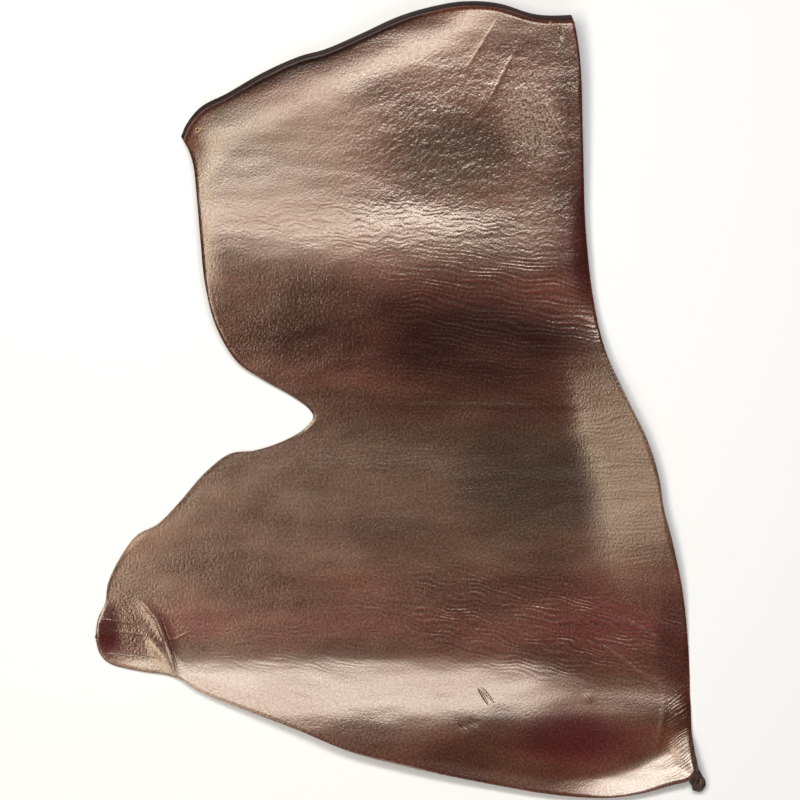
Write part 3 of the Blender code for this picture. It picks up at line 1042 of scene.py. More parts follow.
@dataclass(frozen=True)
class GlazedGrain:
    """The dyed and glazed grain side.

    Painted shade darkens a trough from one height of the wrinkles to another, in mm. A zone's dye, the
    painted shade of the troughs and the speckles each have a share where the pattern is lowest and where it
    is highest.
    """

    dye: Colour = (0.064, 0.0175, 0.0105)
    warm_dye: Colour = (0.118, 0.033, 0.0180)
    burgundy: Colour = (0.125, 0.014, 0.016)
    olive: Colour = (0.060, 0.043, 0.026)
    # The whitish haze, also used as a painted highlight on the rolled flap.
    haze: Colour = (0.40, 0.33, 0.27)
    raw: Colour = (0.42, 0.24, 0.075)
    # The painted highlight along the raised fine lines.
    worn: Colour = (0.60, 0.47, 0.33)
    gloss_tint: Colour = (1.0, 0.87, 0.76)
    cloud_scale: float = 9.0
    # The painted shade in the wrinkles' troughs.
    trough_painted_shade_span: tuple[float, float] = (-0.16, 0.1)
    trough_painted_shade: tuple[float, float] = (0.6, 1.1)
    speckle_shade: tuple[float, float] = (0.72, 1.22)
    zone_dye: tuple[float, float] = (0.55, 1.0)
    # How far the zones of painted shade darken the dye.
    zone_painted_shade: float = 0.7
    haze_and_highlight_share: float = 0.62
    gloss: float = 1.0
    roughness: tuple[float, float] = (0.22, 0.26)
    zone_roughness: tuple[tuple[Effect, float], ...] = (
        (Effect.SOFT, 0.09), (Effect.DARK, -0.055), (Effect.CLEAR, -0.05),
    )
    speckle_roughness: float = 0.06
    glaze: float = 0.03
    glaze_roughness: float = 0.2
    pore_size: float = 3.2
    pore_depth: float = 0.11
    calm_pore_depth: float = 0.0275
    calm_shine: float = 0.4
    bump_share: float = 0.6

    def build(self, groups: Groups) -> bpy.types.Material:
        """The material.

        Args:
            groups: the shared node groups.

        Returns:
            The material.
        """
        material, wires, surface = new_material("glazed_grain")
        place = wires.plan()
        nodes = GrainNodes(
            wires.group(
                groups.mottle, Place=place, Scale=self.cloud_scale, First=rgba(self.dye),
                Second=rgba(self.warm_dye),
            ),
            wires.group(groups.pores, Place=place, Cell=self.pore_size * MM),
            wires.group(groups.strokes, Place=place),
            all_wrinkles(wires, groups.wrinkles),
        )
        wires.fed(
            surface, Base_Color=self.dye_and_painted_light(wires, nodes), Roughness=self.rough(wires, nodes),
            Specular_Tint=rgba(self.gloss_tint), Specular_IOR_Level=self.gloss,
            Coat_Weight=wires.span(wires.attribute(Effect.SHINE.value), 0, 1, self.glaze, 1),
            Coat_Roughness=self.glaze_roughness,
        )
        normal = wires.bent(self.relief(wires, nodes))
        wires.fed(surface, Normal=normal, Coat_Normal=normal)
        return material

    def dye_and_painted_light(self, wires: Wiring, nodes: GrainNodes) -> bpy.types.NodeSocket:
        """The dye with its zones, specks and whitish haze, with painted shade in the shaded zones, the
        wrinkles' troughs and the sunk fine lines, and painted highlights on the raised fine lines and the
        rolled flap.

        Args:
            wires: the material's wiring.
            nodes: what it reads.

        Returns:
            The colour.
        """
        mottle, pores, strokes, wrinkles = nodes
        # Painted shade in the troughs of the wrinkles.
        deep = wires.span(wrinkles, *self.trough_painted_shade_span)
        colour = mottle.outputs["Color"]
        for effect, tone in ((Effect.BURGUNDY, self.burgundy), (Effect.OLIVE, self.olive)):
            zone = wires.attribute(effect.value)
            share = wires.math("MULTIPLY", zone, wires.span(mottle.outputs["Cloud"], 0, 1, *self.zone_dye))
            colour = wires.blend(share, colour, rgba(tone))
        # Painted shade: the zones where the hide lies in shade darken the dye.
        dark = wires.math("MULTIPLY", wires.attribute(Effect.DARK.value), self.zone_painted_shade)
        low, high = self.trough_painted_shade
        shade = wires.math("MULTIPLY_ADD", deep, high - low, low)
        shade = wires.math("MULTIPLY", shade, wires.math("SUBTRACT", 1.0, dark))
        # Painted shade along the sunk fine lines.
        shade = wires.math("MULTIPLY", shade, wires.math("SUBTRACT", 1.0, strokes.outputs["Dark"]))
        shade = wires.math("MULTIPLY", shade, wires.span(pores.outputs["Speckle"], 0, 1, *self.speckle_shade))
        colour = wires.scaled(colour, shade)
        # The whitish haze, with a painted highlight on the rolled flap.
        haze = wires.math("MULTIPLY", wires.attribute(Effect.HAZE.value), pores.outputs["Speckle"])
        colour = wires.blend(wires.math("MULTIPLY", haze, self.haze_and_highlight_share), colour, rgba(self.haze))
        # The painted highlight along the raised fine lines.
        colour = wires.blend(strokes.outputs["Worn"], colour, rgba(self.worn))
        return wires.blend(wires.attribute(RAW_RIM), colour, rgba(self.raw))

    def rough(self, wires: Wiring, nodes: GrainNodes) -> bpy.types.NodeSocket:
        """How rough the gloss is.

        Args:
            wires: the material's wiring.
            nodes: what it reads.

        Returns:
            The roughness.
        """
        rough = wires.span(nodes.mottle.outputs["Cloud"], 0, 1, *self.roughness)
        for effect, change in self.zone_roughness:
            rough = wires.math("MULTIPLY_ADD", wires.attribute(effect.value), change, rough)
        return wires.math("MULTIPLY_ADD", nodes.pores.outputs["Speckle"], self.speckle_roughness, rough)

    def relief(self, wires: Wiring, nodes: GrainNodes) -> bpy.types.NodeSocket:
        """What the bump adds to the mesh: the rest of the wrinkles, the fine lines and the pores.

        Args:
            wires: the material's wiring.
            nodes: what it reads.

        Returns:
            The height, in mm.
        """
        height = wires.math("MULTIPLY", nodes.wrinkles, self.bump_share)
        height = wires.math("ADD", height, nodes.strokes.outputs["Height"])
        shine = wires.attribute(Effect.SHINE.value)
        pores = wires.span(shine, 0, self.calm_shine, self.pore_depth, self.calm_pore_depth)
        return wires.math("MULTIPLY_ADD", nodes.pores.outputs["Height"], pores, height)


@dataclass(frozen=True)
class RawLeather:
    """Leather without glaze: the flesh side, the cut edge, the rolled top edge, whose darker and duller
    finish is painted shade, or the dried tail end.
    """

    name: str
    first: Colour
    second: Colour
    fibre: float
    fibre_depth: float
    roughness: tuple[float, float]
    cloud_scale: float = 30.0
    sheen: float = 0.15
    gloss: float = 0.5

    def build(self, groups: Groups) -> bpy.types.Material:
        """The material.

        Args:
            groups: the shared node groups.

        Returns:
            The material.
        """
        material, wires, surface = new_material(self.name)
        place = wires.node("ShaderNodeTexCoord").outputs["Object"]
        mottle = wires.group(
            groups.mottle, Place=place, Scale=self.cloud_scale, First=rgba(self.first),
            Second=rgba(self.second),
        )
        pores = wires.group(groups.pores, Place=place, Cell=self.fibre * MM)
        wires.fed(
            surface, Base_Color=mottle.outputs["Color"],
            Roughness=wires.span(pores.outputs["Speckle"], 0, 1, *self.roughness),
            Sheen_Weight=self.sheen, Specular_IOR_Level=self.gloss,
            Normal=wires.bent(wires.math("MULTIPLY", pores.outputs["Height"], self.fibre_depth)),
        )
        return material


@dataclass(frozen=True)
class Leathers:
    """The finish of each skin of the sheet, and of the tail end."""

    grain: GlazedGrain = GlazedGrain()
    flesh: RawLeather = RawLeather(
        "shaved_flesh", (0.17, 0.085, 0.05), (0.23, 0.13, 0.08), 1.6, 0.12, (0.8, 1.0),
    )
    cut_edge: RawLeather = RawLeather(
        "cut_edge", (0.09, 0.045, 0.033), (0.18, 0.105, 0.08), 0.8, 0.1, (0.6, 1.0),
    )
    # Painted shade: a darker, duller finish for the rolled top edge.
    shaded_top_roll: RawLeather = RawLeather(
        "shaded_top_roll", (0.016, 0.006, 0.005), (0.034, 0.011, 0.009), 1.2, 0.2, (0.45, 1.0),
        sheen=0.0, gloss=0.2,
    )
    tail: RawLeather = RawLeather(
        "dried_tail", (0.016, 0.007, 0.005), (0.055, 0.024, 0.014), 1.2, 0.15, (0.42, 0.7),
        cloud_scale=160.0, sheen=0.0,
    )


class Finishes:
    """Every material of the hide."""

    def __init__(self, leathers: Leathers) -> None:
        """Builds the groups, then the materials.

        Args:
            leathers: the finish of each skin.
        """
        self.groups = Groups()
        self.skins = {
            Skin.GRAIN: leathers.grain.build(self.groups),
            Skin.FLESH: leathers.flesh.build(self.groups),
            Skin.CUT_EDGE: leathers.cut_edge.build(self.groups),
            Skin.SHADED_TOP_ROLL: leathers.shaded_top_roll.build(self.groups),
        }
        self.tail = leathers.tail.build(self.groups)


class Density(NamedTuple):
    """How closely the sheet's rows or columns stand at one share of its length or width."""

    share: float
    rate: float


def crowd(count: int, table: Sequence[Density]) -> Array:
    """The shares of a side where rows or columns stand.

    Args:
        count: how many cells there are.
        table: how closely they stand, from 0 to 1.

    Returns:
        One share for each line, from 0 to 1.
    """
    places, rates = np.array(table, float).T
    total = np.concatenate([[0], np.cumsum((rates[1:] + rates[:-1]) / 2 * np.diff(places))])
    fine = np.linspace(0, 1, CROWD_READINGS)
    reached = np.interp(fine, places, total)
    return np.interp(np.linspace(0, total[-1], count + 1), reached, fine)


@dataclass
class HideSheet:
    """The hide itself: one closed sheet, fine on the grain side and coarser on the flesh side."""

    drape: Drape
    cells_across: int = 176
    cells_along: int = 430
    thickness: float = 2.0
    edge_bulge: float = 0.25
    bulge_reach: float = 0.45
    flat_width: float = 0.92
    flat_length: float = 1.20
    flat_area: float = 0.727
    raised_share: float = 0.5
    calm_cells: int = 4
    # The rows along the top edge, between two x, that take the finish of painted shade.
    shaded_roll_cells: int = 8
    shaded_roll_ends: tuple[float, float] = (-330, 270)
    guard_ring: float = 2.3
    smooth_angle: float = 50.0
    across_rates: tuple[Density, ...] = (
        Density(0, 3), Density(0.012, 3), Density(0.05, 1), Density(0.3, 0.75), Density(0.5, 1.15),
        Density(0.93, 1.3), Density(0.988, 3), Density(1, 3),
    )
    along_rates: tuple[Density, ...] = (
        Density(0, 3), Density(0.012, 3), Density(0.05, 1.2), Density(0.2, 1), Density(0.45, 0.75),
        Density(0.56, 1.3), Density(0.93, 1.3), Density(0.988, 3), Density(1, 3),
    )

    def even_reading(self, edge: Sequence[EdgePoint], shares: Array) -> Array:
        """Points of a side's curve.

        Args:
            edge: the side.
            shares: where to read it, in shares of its length.

        Returns:
            One point for each reading.
        """
        line = smooth_curve(edge, PLAN_STEPS)
        run = np.concatenate([[0], np.cumsum(np.linalg.norm(np.diff(line, axis=0), axis=1))])
        at = shares * run[-1]
        return np.stack([np.interp(at, run, line[:, 0]), np.interp(at, run, line[:, 1])], axis=1)

    def bulge(self, edge: Sequence[EdgePoint], across: Array) -> Array:
        """How far a side's curve stands off the straight line between its ends.

        Args:
            edge: the side.
            across: where to read it, in shares of its length.

        Returns:
            One step for each reading.
        """
        start = np.array(edge[0], float)
        end = np.array(edge[-1], float)
        return self.even_reading(edge, across) - (start + across[:, None] * (end - start))

    def plan(self) -> Array:
        """The plan of the sheet.

        Returns:
            Rows of points from the bottom edge to the top one.
        """
        across = crowd(self.cells_across, self.across_rates)
        along = crowd(self.cells_along, self.along_rates)
        left = self.even_reading(LEFT_EDGE, 1 - along)[:, None]
        right = self.even_reading(RIGHT_EDGE, 1 - along)[:, None]
        rows = left + across[None, :, None] * (right - left)
        near_bottom = 1 - smooth_step(along / self.bulge_reach)[:, None, None]
        near_top = 1 - smooth_step((1 - along) / self.bulge_reach)[:, None, None]
        rows = rows + near_bottom * self.bulge(BOTTOM_EDGE, across)[None]
        return rows + near_top * self.bulge(TOP_EDGE, across)[None]

    def pierce(self, plan: Array) -> tuple[dict[Place, float], list[Place]]:
        """Draws the points round each tack hole onto its rim.

        Args:
            plan: the sheet's plan, which is changed.

        Returns:
            How raw each rim point is, and the row and column of each hole's middle.
        """
        rims: dict[Place, float] = {}
        middles = []
        for hole in HOLES:
            away = np.linalg.norm(plan[::2, ::2] - (hole.x, hole.y), axis=2)
            row, column = (2 * int(k) for k in np.unravel_index(np.argmin(away), away.shape))
            middle = plan[row, column].copy()
            for reach, radius in ((2, self.guard_ring * hole.radius), (1, hole.radius)):
                for down, right in ring(reach):
                    spoke = plan[row + down, column + right] - middle
                    plan[row + down, column + right] = middle + spoke * radius / np.linalg.norm(spoke)
                    rims[row + down, column + right] = hole.raw if reach == 1 else 0.0
            middles.append((row, column))
        return rims, middles

    def build(self, finishes: Finishes) -> bpy.types.Object:
        """The finished sheet.

        Args:
            finishes: the materials.

        Returns:
            The object, plain mesh, at the origin.
        """
        plan = self.plan()
        rims, middles = self.pierce(plan)
        x, y = plan[..., 0].ravel(), plan[..., 1].ravel()
        height = self.drape.height(x, y).reshape(plan.shape[:2])
        under = np.concatenate([plan, height[..., None]], axis=2)
        relief = crease_relief(x, y).reshape(plan.shape[:2])
        over = under + grid_normals(under) * (self.thickness + relief)[..., None]
        mesh, origin = self.closed_mesh(under, over, middles)
        self.dress(mesh, plan, rims, origin)
        piece = add_object("hide_sheet", mesh)
        self.raise_wrinkles(piece, finishes)
        return piece

    def closed_mesh(self, under: Array, over: Array, middles: list[Place]) -> tuple[bpy.types.Mesh, Array]:
        """The two sides joined round the cut edge and down the tack holes.

        Args:
            under: the flesh side's points, by row and column.
            over: the grain side's points.
            middles: the row and column of each tack hole.

        Returns:
            The mesh, and for each point the row and column that it comes from.
        """
        rows, columns = under.shape[:2]
        coarse = under[::2, ::2].copy()
        coarse_middles = [(r // 2, c // 2) for r, c in middles]
        grain = np.arange(rows * columns).reshape(rows, columns)
        flesh = grain.size + np.arange(coarse[..., 0].size).reshape(coarse.shape[:2])
        loop = border(rows, columns)
        top = side_faces(grain, middles)
        low = [(face[0], *face[:0:-1]) for face in side_faces(flesh, coarse_middles)]
        edge = edge_faces(grain, flesh, grain.size + flesh.size + np.arange(len(loop)), loop)
        for (r, c), (coarse_r, coarse_c) in zip(middles, coarse_middles):
            edge += hole_faces(grain, (r, c), flesh, (coarse_r, coarse_c))
            for down, right in ring(1):
                coarse[coarse_r + down, coarse_c + right] = under[r + down, c + right]
        skins = [self.grain_skin(face, over) for face in top]
        skins += [Skin.FLESH] * len(low) + [Skin.CUT_EDGE] * len(edge)
        rim = self.rim_points(under, over, loop)
        points = np.concatenate([over.reshape(-1, 3), coarse.reshape(-1, 3), rim]) * MM
        place = np.stack(np.meshgrid(np.arange(rows), np.arange(columns), indexing="ij"), axis=2)
        origin = np.concatenate([place.reshape(-1, 2), place[::2, ::2].reshape(-1, 2), np.array(loop)])
        used = np.ones(len(points), bool)
        for middle, coarse_middle in zip(middles, coarse_middles):
            used[[grain[middle], flesh[coarse_middle]]] = False
        number = np.cumsum(used) - 1
        faces = [tuple(int(number[v]) for v in face) for face in top + low + edge]
        mesh = bpy.data.meshes.new("hide_sheet")
        mesh.from_pydata(points[used].tolist(), [], faces)
        mesh.attributes.new(SKIN, "INT", "FACE").data.foreach_set("value", [skin.value for skin in skins])
        mesh.shade_smooth()
        mesh.set_sharp_from_angle(angle=np.radians(self.smooth_angle))
        return mesh, origin[used]

    def rim_points(self, under: Array, over: Array, loop: list[Place]) -> Array:
        """The points halfway down the cut edge, bulged a little outward.

        Args:
            under: the flesh side's points, by row and column.
            over: the grain side's points.
            loop: the rows and columns of the outline.

        Returns:
            One point for each of them.
        """
        rim = np.array([(over[place] + under[place]) / 2 for place in loop])
        run = np.roll(rim, -1, axis=0) - np.roll(rim, 1, axis=0)
        outward = np.stack([run[:, 1], -run[:, 0]], axis=1)
        rim[:, :2] += outward / np.linalg.norm(outward, axis=1)[:, None] * self.edge_bulge
        return rim

    def grain_skin(self, face: Sequence[int], over: Array) -> Skin:
        """What a face of the grain side shows.

        Args:
            face: the numbers of its points.
            over: the grain side's points, by row and column.

        Returns:
            The strip of painted shade along the rolled top edge, or the grain.
        """
        row, column = divmod(int(face[0]), over.shape[1])
        start, end = self.shaded_roll_ends
        shaded_roll = row >= over.shape[0] - 1 - self.shaded_roll_cells and start < over[row, column, 0] < end
        return Skin.SHADED_TOP_ROLL if shaded_roll else Skin.GRAIN

    def dress(self, mesh: bpy.types.Mesh, plan: Array, rims: dict[Place, float], origin: Array) -> None:
        """Writes the plan map and the zones onto the mesh.

        Args:
            mesh: the sheet's mesh.
            plan: the sheet's plan.
            rims: how raw each point round a tack hole is.
            origin: the row and column that each point comes from.
        """
        place = plan[origin[:, 0], origin[:, 1]]
        x, y = place[:, 0], place[:, 1]
        for effect, zones in ZONES.items():
            write(mesh, effect.value, zone_mask(x, y, zones))
        write(mesh, RAW_RIM, np.array([rims.get((r, c), 0.0) for r, c in origin.tolist()]))
        rows, columns = plan.shape[:2]
        row, column = origin.T
        to_border = np.minimum.reduce([row, rows - 1 - row, column, columns - 1 - column])
        on_grain = np.arange(len(origin)) < rows * columns - len(HOLES)
        write(mesh, RAISED, on_grain * smooth_step((to_border - 1) / self.calm_cells))
        corners = np.empty(len(mesh.loops), np.int32)
        mesh.loops.foreach_get("vertex_index", corners)
        flat = mesh.uv_layers.new(name=PLAN_MAP)
        flat.data.foreach_set("uv", (place[corners] * MM).ravel())

    def raise_wrinkles(self, piece: bpy.types.Object, finishes: Finishes) -> None:
        """Gives the wrinkles their height and the faces their materials, by a node tree.

        Args:
            piece: the sheet.
            finishes: the materials.
        """
        wires, start, end = new_group(
            "raised_wrinkles", TreeKind.GEOMETRY, {"Sheet": GEOMETRY, "Share": FLOAT}, {"Sheet": GEOMETRY},
        )
        height = wires.math("MULTIPLY", all_wrinkles(wires, finishes.groups.wrinkles_raised), start["Share"])
        height = wires.math("ADD", height, unevenness(wires))
        height = wires.math("MULTIPLY", wires.math("MULTIPLY", height, MM), wires.attribute(RAISED))
        offset = wires.scaled(wires.node("GeometryNodeInputNormal").outputs[0], height)
        moved = wires.fed(wires.node("GeometryNodeSetPosition"), Geometry=start["Sheet"], Offset=offset)
        flow = wires.fed(wires.node("GeometryNodeRealizeInstances"), moved.outputs[0]).outputs[0]
        skin = wires.named(SKIN, "INT")
        for kind, material in finishes.skins.items():
            chosen = wires.node("FunctionNodeCompare", data_type="INT", operation="EQUAL")
            chosen = wires.fed(chosen, A=skin, B=kind.value).outputs["Result"]
            paint = wires.node("GeometryNodeSetMaterial")
            flow = wires.fed(paint, Geometry=flow, Selection=chosen, Material=material).outputs[0]
        wires.fed(end, Sheet=flow)
        piece.data = run_tree(piece, wires.tree, {"Share": self.raised_share})


def write(mesh: bpy.types.Mesh, name: str, values: Array) -> None:
    """One number for each point, under a name."""
    mesh.attributes.new(name, "FLOAT", "POINT").data.foreach_set("value", values.astype(np.float32))


def add_object(name: str, data: bpy.types.ID) -> bpy.types.Object:
    """Puts something into the scene.

    Args:
        name: the object's name.
        data: its mesh, curve, light or camera.

    Returns:
        The object, at the origin.
    """
    thing = bpy.data.objects.new(name, data)
    bpy.context.scene.collection.objects.link(thing)
    return thing


def run_tree(piece: bpy.types.Object, tree: bpy.types.NodeTree, values: dict[str, float]) -> bpy.types.Mesh:
    """Runs a node tree on an object.

    Args:
        piece: the object.
        tree: the node tree.
        values: its inputs, by name.

    Returns:
        The result, as a plain mesh.
    """
    modifier = piece.modifiers.new(tree.name, "NODES")
    modifier.node_group = tree
    for item in tree.interface.items_tree:
        if item.item_type == "SOCKET" and item.in_out == "INPUT" and item.name in values:
            modifier[item.identifier] = values[item.name]
    bpy.context.view_layer.update()
    evaluated = piece.evaluated_get(bpy.context.evaluated_depsgraph_get())
    mesh = bpy.data.meshes.new_from_object(evaluated)
    mesh.name = piece.name
    piece.modifiers.remove(modifier)
    return mesh


def side_faces(number: Array, middles: list[Place]) -> list[tuple[int, ...]]:
    """The faces of one side of the sheet, open at the tack holes.

    Args:
        number: the points' numbers, by row and column.
        middles: the row and column of each tack hole.

    Returns:
        The faces, each with its points anticlockwise from above.
    """
    pierced = {(r + down, c + right) for r, c in middles for down in (-1, 0) for right in (-1, 0)}
    return [
        (number[r, c], number[r, c + 1], number[r + 1, c + 1], number[r + 1, c])
        for r, c in np.ndindex(number.shape[0] - 1, number.shape[1] - 1) if (r, c) not in pierced
    ]


def edge_faces(grain: Array, flesh: Array, rim: Array, loop: list[Place]) -> list[tuple[int, ...]]:
    """The faces of the cut edge, from the fine grain side to the coarse flesh side.

    Args:
        grain: the grain side's point numbers, by row and column.
        flesh: the flesh side's point numbers, one for every other row and column.
        rim: the numbers of the points halfway down the edge.
        loop: the rows and columns of the outline.

    Returns:
        The faces.
    """
    count = len(loop)
    faces: list[tuple[int, ...]] = []
    for k in range(count):
        after = (k + 1) % count
        faces.append((grain[loop[k]], rim[k], rim[after], grain[loop[after]]))
    for k in range(0, count, 2):
        first, half, last = rim[k], rim[k + 1], rim[(k + 2) % count]
        a, b = (flesh[r // 2, c // 2] for r, c in (loop[k], loop[(k + 2) % count]))
        faces += [(first, a, half), (half, a, b), (half, b, last)]
    return faces


def hole_faces(grain: Array, middle: Place, flesh: Array, coarse_middle: Place) -> list[tuple[int, ...]]:
    """The wall of a tack hole.

    Args:
        grain: the grain side's point numbers, by row and column.
        middle: the hole's row and column there.
        flesh: the flesh side's point numbers, by row and column.
        coarse_middle: the hole's row and column there.

    Returns:
        The faces.
    """
    top = [grain[middle[0] + down, middle[1] + right] for down, right in ring(1)]
    low = [flesh[coarse_middle[0] + down, coarse_middle[1] + right] for down, right in ring(1)]
    pairs = [(k, (k + 1) % len(top)) for k in range(len(top))]
    return [(top[a], top[b], low[b], low[a]) for a, b in pairs]


def ring(reach: int) -> list[Place]:
    """A square ring of points.

    Args:
        reach: how many rows or columns it lies from its middle.

    Returns:
        The steps, in rows and columns, from the middle to each point, in order round it.
    """
    side = list(range(-reach, reach))
    return (
        [(k, reach) for k in side] + [(reach, -k) for k in side]
        + [(-k, -reach) for k in side] + [(-reach, k) for k in side]
    )


def border(rows: int, columns: int) -> list[Place]:
    """The outline of the sheet.

    Args:
        rows: how many rows of points there are.
        columns: how many columns.

    Returns:
        The rows and columns of its points, anticlockwise from the lower left corner.
    """
    return (
        [(0, c) for c in range(columns - 1)]
        + [(r, columns - 1) for r in range(rows - 1)]
        + [(rows - 1, c) for c in range(columns - 1, 0, -1)]
        + [(r, 0) for r in range(rows - 1, 0, -1)]
    )


def grid_normals(points: Array) -> Array:
    """The upward normal at each point of a grid."""
    up = np.cross(np.gradient(points, axis=1), np.gradient(points, axis=0))
    return up / np.linalg.norm(up, axis=2)[..., None]


class TailPoint(NamedTuple):
    """A point of the shrivelled tail end, and how thick it is there."""

    x: float
    y: float
    z: float
    radius: float


@dataclass
class TailEnd:
    """The shrivelled tail end at the bottom right corner: a twisted neck that swells to a knob."""

    path: tuple[TailPoint, ...] = (
        TailPoint(436.5, -505, 10.0, 1.2), TailPoint(438.5, -524, 15.5, 2.0),
        TailPoint(440.5, -541, 19.5, 3.0), TailPoint(442, -552, 20.5, 4.2),
        TailPoint(443.5, -562, 15.5, 8.0), TailPoint(445, -571, 12.0, 11.0),
        TailPoint(447, -579, 9.8, 9.0), TailPoint(449, -584, 8.4, 4.0),
    )
    path_steps: int = 6
    sides: int = 40
    steps: int = 90
    ridges: float = 5.0
    ridge_depth: float = 0.16
    turns: float = 0.8
    wither: float = 1.4
    wither_scale: float = 130.0
    wither_detail: float = 3.0
    seed: float = 4.0
    lowest: float = 0.3

    def build(self, material: bpy.types.Material) -> bpy.types.Object:
        """The finished tail end.

        Args:
            material: its finish.

        Returns:
            The object, plain mesh, at the origin.
        """
        line = smooth_curve([point[:3] for point in self.path], self.path_steps) * MM
        radii = smooth_curve([(point.radius, 0) for point in self.path], self.path_steps)[:, 0] * MM
        data = bpy.data.curves.new("tail_path", "CURVE")
        data.dimensions = "3D"
        track = data.splines.new("POLY")
        track.points.add(len(line) - 1)
        for point, place, radius in zip(track.points, line, radii):
            point.co = (*place, 1)
            point.radius = float(radius)
        carrier = add_object("tail_path", data)
        values = {
            "Sides": self.sides, "Steps": self.steps, "Ridges": self.ridges, "Ridge depth": self.ridge_depth,
            "Turns": self.turns, "Wither": self.wither * MM, "Seed": self.seed,
        }
        mesh = run_tree(carrier, self.twist_tree(material), values)
        bpy.data.objects.remove(carrier)
        mesh.shade_smooth()
        for vertex in mesh.vertices:
            vertex.co.z = max(vertex.co.z, self.lowest * MM)
        return add_object("tail_end", mesh)

    def twist_tree(self, material: bpy.types.Material) -> bpy.types.NodeTree:
        """A ridged profile swept along the path, turning as it goes, and withered by noise.

        Args:
            material: its finish.

        Returns:
            The node tree.
        """
        wires, start, end = new_group(
            "twisted_tail", TreeKind.GEOMETRY,
            {
                "Path": GEOMETRY, "Sides": WHOLE, "Steps": WHOLE, "Ridges": FLOAT, "Ridge depth": FLOAT,
                "Turns": FLOAT, "Wither": FLOAT, "Seed": FLOAT,
            },
            {"Tail": GEOMETRY},
        )
        even = wires.fed(wires.node("GeometryNodeResampleCurve"), Curve=start["Path"], Count=start["Steps"])
        along = wires.node("GeometryNodeSplineParameter").outputs["Factor"]
        tilt = wires.math("MULTIPLY", wires.math("MULTIPLY", along, start["Turns"]), 2 * np.pi)
        turned = wires.fed(wires.node("GeometryNodeSetCurveTilt"), Curve=even.outputs[0], Tilt=tilt)
        circle = wires.fed(
            wires.node("GeometryNodeCurvePrimitiveCircle"), Resolution=start["Sides"], Radius=1.0,
        )
        place = wires.node("GeometryNodeInputPosition").outputs[0]
        split = wires.fed(wires.node("ShaderNodeSeparateXYZ"), place)
        angle = wires.math("ARCTAN2", split.outputs[1], split.outputs[0])
        wave = wires.math("COSINE", wires.math("MULTIPLY", angle, start["Ridges"]))
        swell = wires.math("MULTIPLY_ADD", wave, start["Ridge depth"], 1.0)
        profile = wires.fed(
            wires.node("GeometryNodeSetPosition"), Geometry=circle.outputs["Curve"],
            Position=wires.scaled(place, swell),
        )
        sweep = wires.fed(
            wires.node("GeometryNodeCurveToMesh"), Curve=turned.outputs[0],
            Profile_Curve=profile.outputs[0], Scale=wires.node("GeometryNodeInputRadius").outputs[0],
            Fill_Caps=True,
        )
        moved = wires.vector("ADD", wires.node("GeometryNodeInputPosition").outputs[0], start["Seed"])
        dent = wires.noise(moved, self.wither_scale, self.wither_detail, colour=True, space="3D")
        dent = wires.scaled(wires.vector("SUBTRACT", dent, (0.5, 0.5, 0.5)), start["Wither"])
        withered = wires.fed(wires.node("GeometryNodeSetPosition"), Geometry=sweep.outputs[0], Offset=dent)
        plain = wires.fed(wires.node("GeometryNodeRealizeInstances"), withered.outputs[0])
        paint = wires.node("GeometryNodeSetMaterial")
        wires.fed(paint, Geometry=plain.outputs[0], Material=material)
        wires.fed(end, Tail=paint.outputs[0])
        return wires.tree


@dataclass(frozen=True)
class SoftLight:
    """A rectangular light by its place over the hide and its brightness."""

    name: str
    tilt: float
    azimuth: float
    distance: float
    width: float
    height: float
    radiance: float
    colour: Colour
    shift: float = 0.0

    def build(self) -> None:
        """Hangs the light, aimed at the hide's middle or, shifted, at a point as far toward +Y."""
        tilt, azimuth = np.radians(self.tilt), np.radians(self.azimuth)
        flat = np.sin(tilt)
        away = self.distance * Vector((flat * np.sin(azimuth), flat * np.cos(azimuth), np.cos(tilt)))
        data = bpy.data.lights.new(self.name, "AREA")
        data.shape = "RECTANGLE"
        data.size = self.width
        data.size_y = self.height
        data.color = self.colour
        data.energy = self.radiance * np.pi * self.width * self.height
        lamp = add_object(self.name, data)
        lamp.location = away + Vector((0, self.shift, 0))
        lamp.rotation_mode = "QUATERNION"
        lamp.rotation_quaternion = away.to_track_quat("Z", "Y")


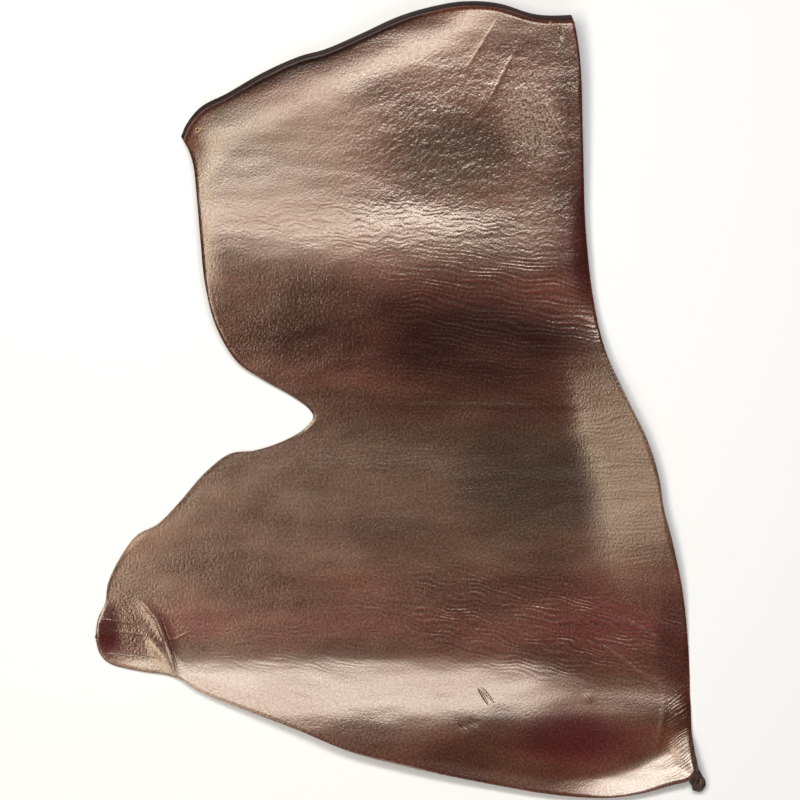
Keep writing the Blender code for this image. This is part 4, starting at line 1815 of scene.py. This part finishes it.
@dataclass(frozen=True)
class Studio:
    """A pale floor, soft strip lights and the camera straight above."""

    camera_height: float = 4.5
    lens: float = 135.0
    sensor: float = 36.0
    floor_size: float = 30.0
    floor_gap: float = 0.0003
    floor_tone: Colour = (0.87, 0.895, 0.95)
    floor_roughness: float = 0.9
    world_tone: Colour = (1.0, 1.0, 1.0)
    world_light: float = 0.05
    lights: tuple[SoftLight, ...] = (
        SoftLight("long_strip", 20, 0, 4.0, 2.8, 0.6, 20.5, (1, 0.975, 0.92)),
        SoftLight("side_panel", 22, -90, 3.9, 2.4, 0.9, 9.8, (1, 0.89, 0.70), 0.04),
        SoftLight("overhead", 0.0, 0, 5.0, 4.0, 1.1, 0.2, (1, 0.97, 0.92), -0.15),
        SoftLight("front_fill", 50, 180, 5.0, 3.4, 1.8, 3.6, (1, 0.98, 0.96)),
    )

    def build(self) -> None:
        """Sets the floor, the lights, the world and the camera."""
        self.lay_floor()
        for light in self.lights:
            light.build()
        world = bpy.data.worlds.new("studio")
        world.use_nodes = True
        backdrop = world.node_tree.nodes["Background"]
        Wiring(world.node_tree).fed(backdrop, Color=rgba(self.world_tone), Strength=self.world_light)
        scene = bpy.context.scene
        scene.world = world
        scene.view_settings.view_transform = "Standard"
        data = bpy.data.cameras.new("above")
        data.lens = self.lens
        data.sensor_width = self.sensor
        camera = add_object("above", data)
        camera.location = (0, 0, self.camera_height)
        scene.camera = camera

    def lay_floor(self) -> None:
        """The plain pale floor."""
        half = self.floor_size / 2
        mesh = bpy.data.meshes.new("floor")
        corners = [(-half, -half), (half, -half), (half, half), (-half, half)]
        mesh.from_pydata([(x, y, -self.floor_gap) for x, y in corners], [], [(0, 1, 2, 3)])
        material, wires, surface = new_material("pale_floor")
        wires.fed(surface, Base_Color=rgba(self.floor_tone), Roughness=self.floor_roughness)
        mesh.materials.append(material)
        add_object("floor", mesh)


def seat(pieces: Sequence[bpy.types.Object]) -> None:
    """Moves the pieces' points so that their plan is centred over the solid that they stand for.

    Args:
        pieces: the pieces, which move as one.
    """
    corners = []
    for piece in pieces:
        points = np.empty(len(piece.data.vertices) * 3)
        piece.data.vertices.foreach_get("co", points)
        corners += [points.reshape(-1, 3).min(axis=0), points.reshape(-1, 3).max(axis=0)]
    middle = (np.min(corners, axis=0) + np.max(corners, axis=0)) / 2
    low, high = (np.array(corner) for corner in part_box(NODE))
    shift = (low + high) / 2 - middle
    for piece in pieces:
        piece.data.transform(Matrix.Translation((shift[0], shift[1], 0)))
    log.info("moved by %.2f mm, %.2f mm", *(shift[:2] / MM))


def declare(piece: bpy.types.Object) -> None:
    """Ties a piece to the frame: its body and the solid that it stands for.

    Args:
        piece: the piece.
    """
    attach(piece, BODY)
    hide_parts(NODE)
    log.info("%s: %d faces", piece.name, len(piece.data.polygons))


def main() -> None:
    """Builds the studio and the hide."""
    logging.basicConfig(level=logging.INFO, format="%(name)s: %(message)s")
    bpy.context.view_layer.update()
    Studio().build()
    finishes = Finishes(Leathers())
    sheet = HideSheet(Drape())
    hide = sheet.build(finishes)
    tail = TailEnd().build(finishes.tail)
    seat((hide, tail))
    declare(hide)
    declare(tail)


if __name__ == "__main__":
    main()
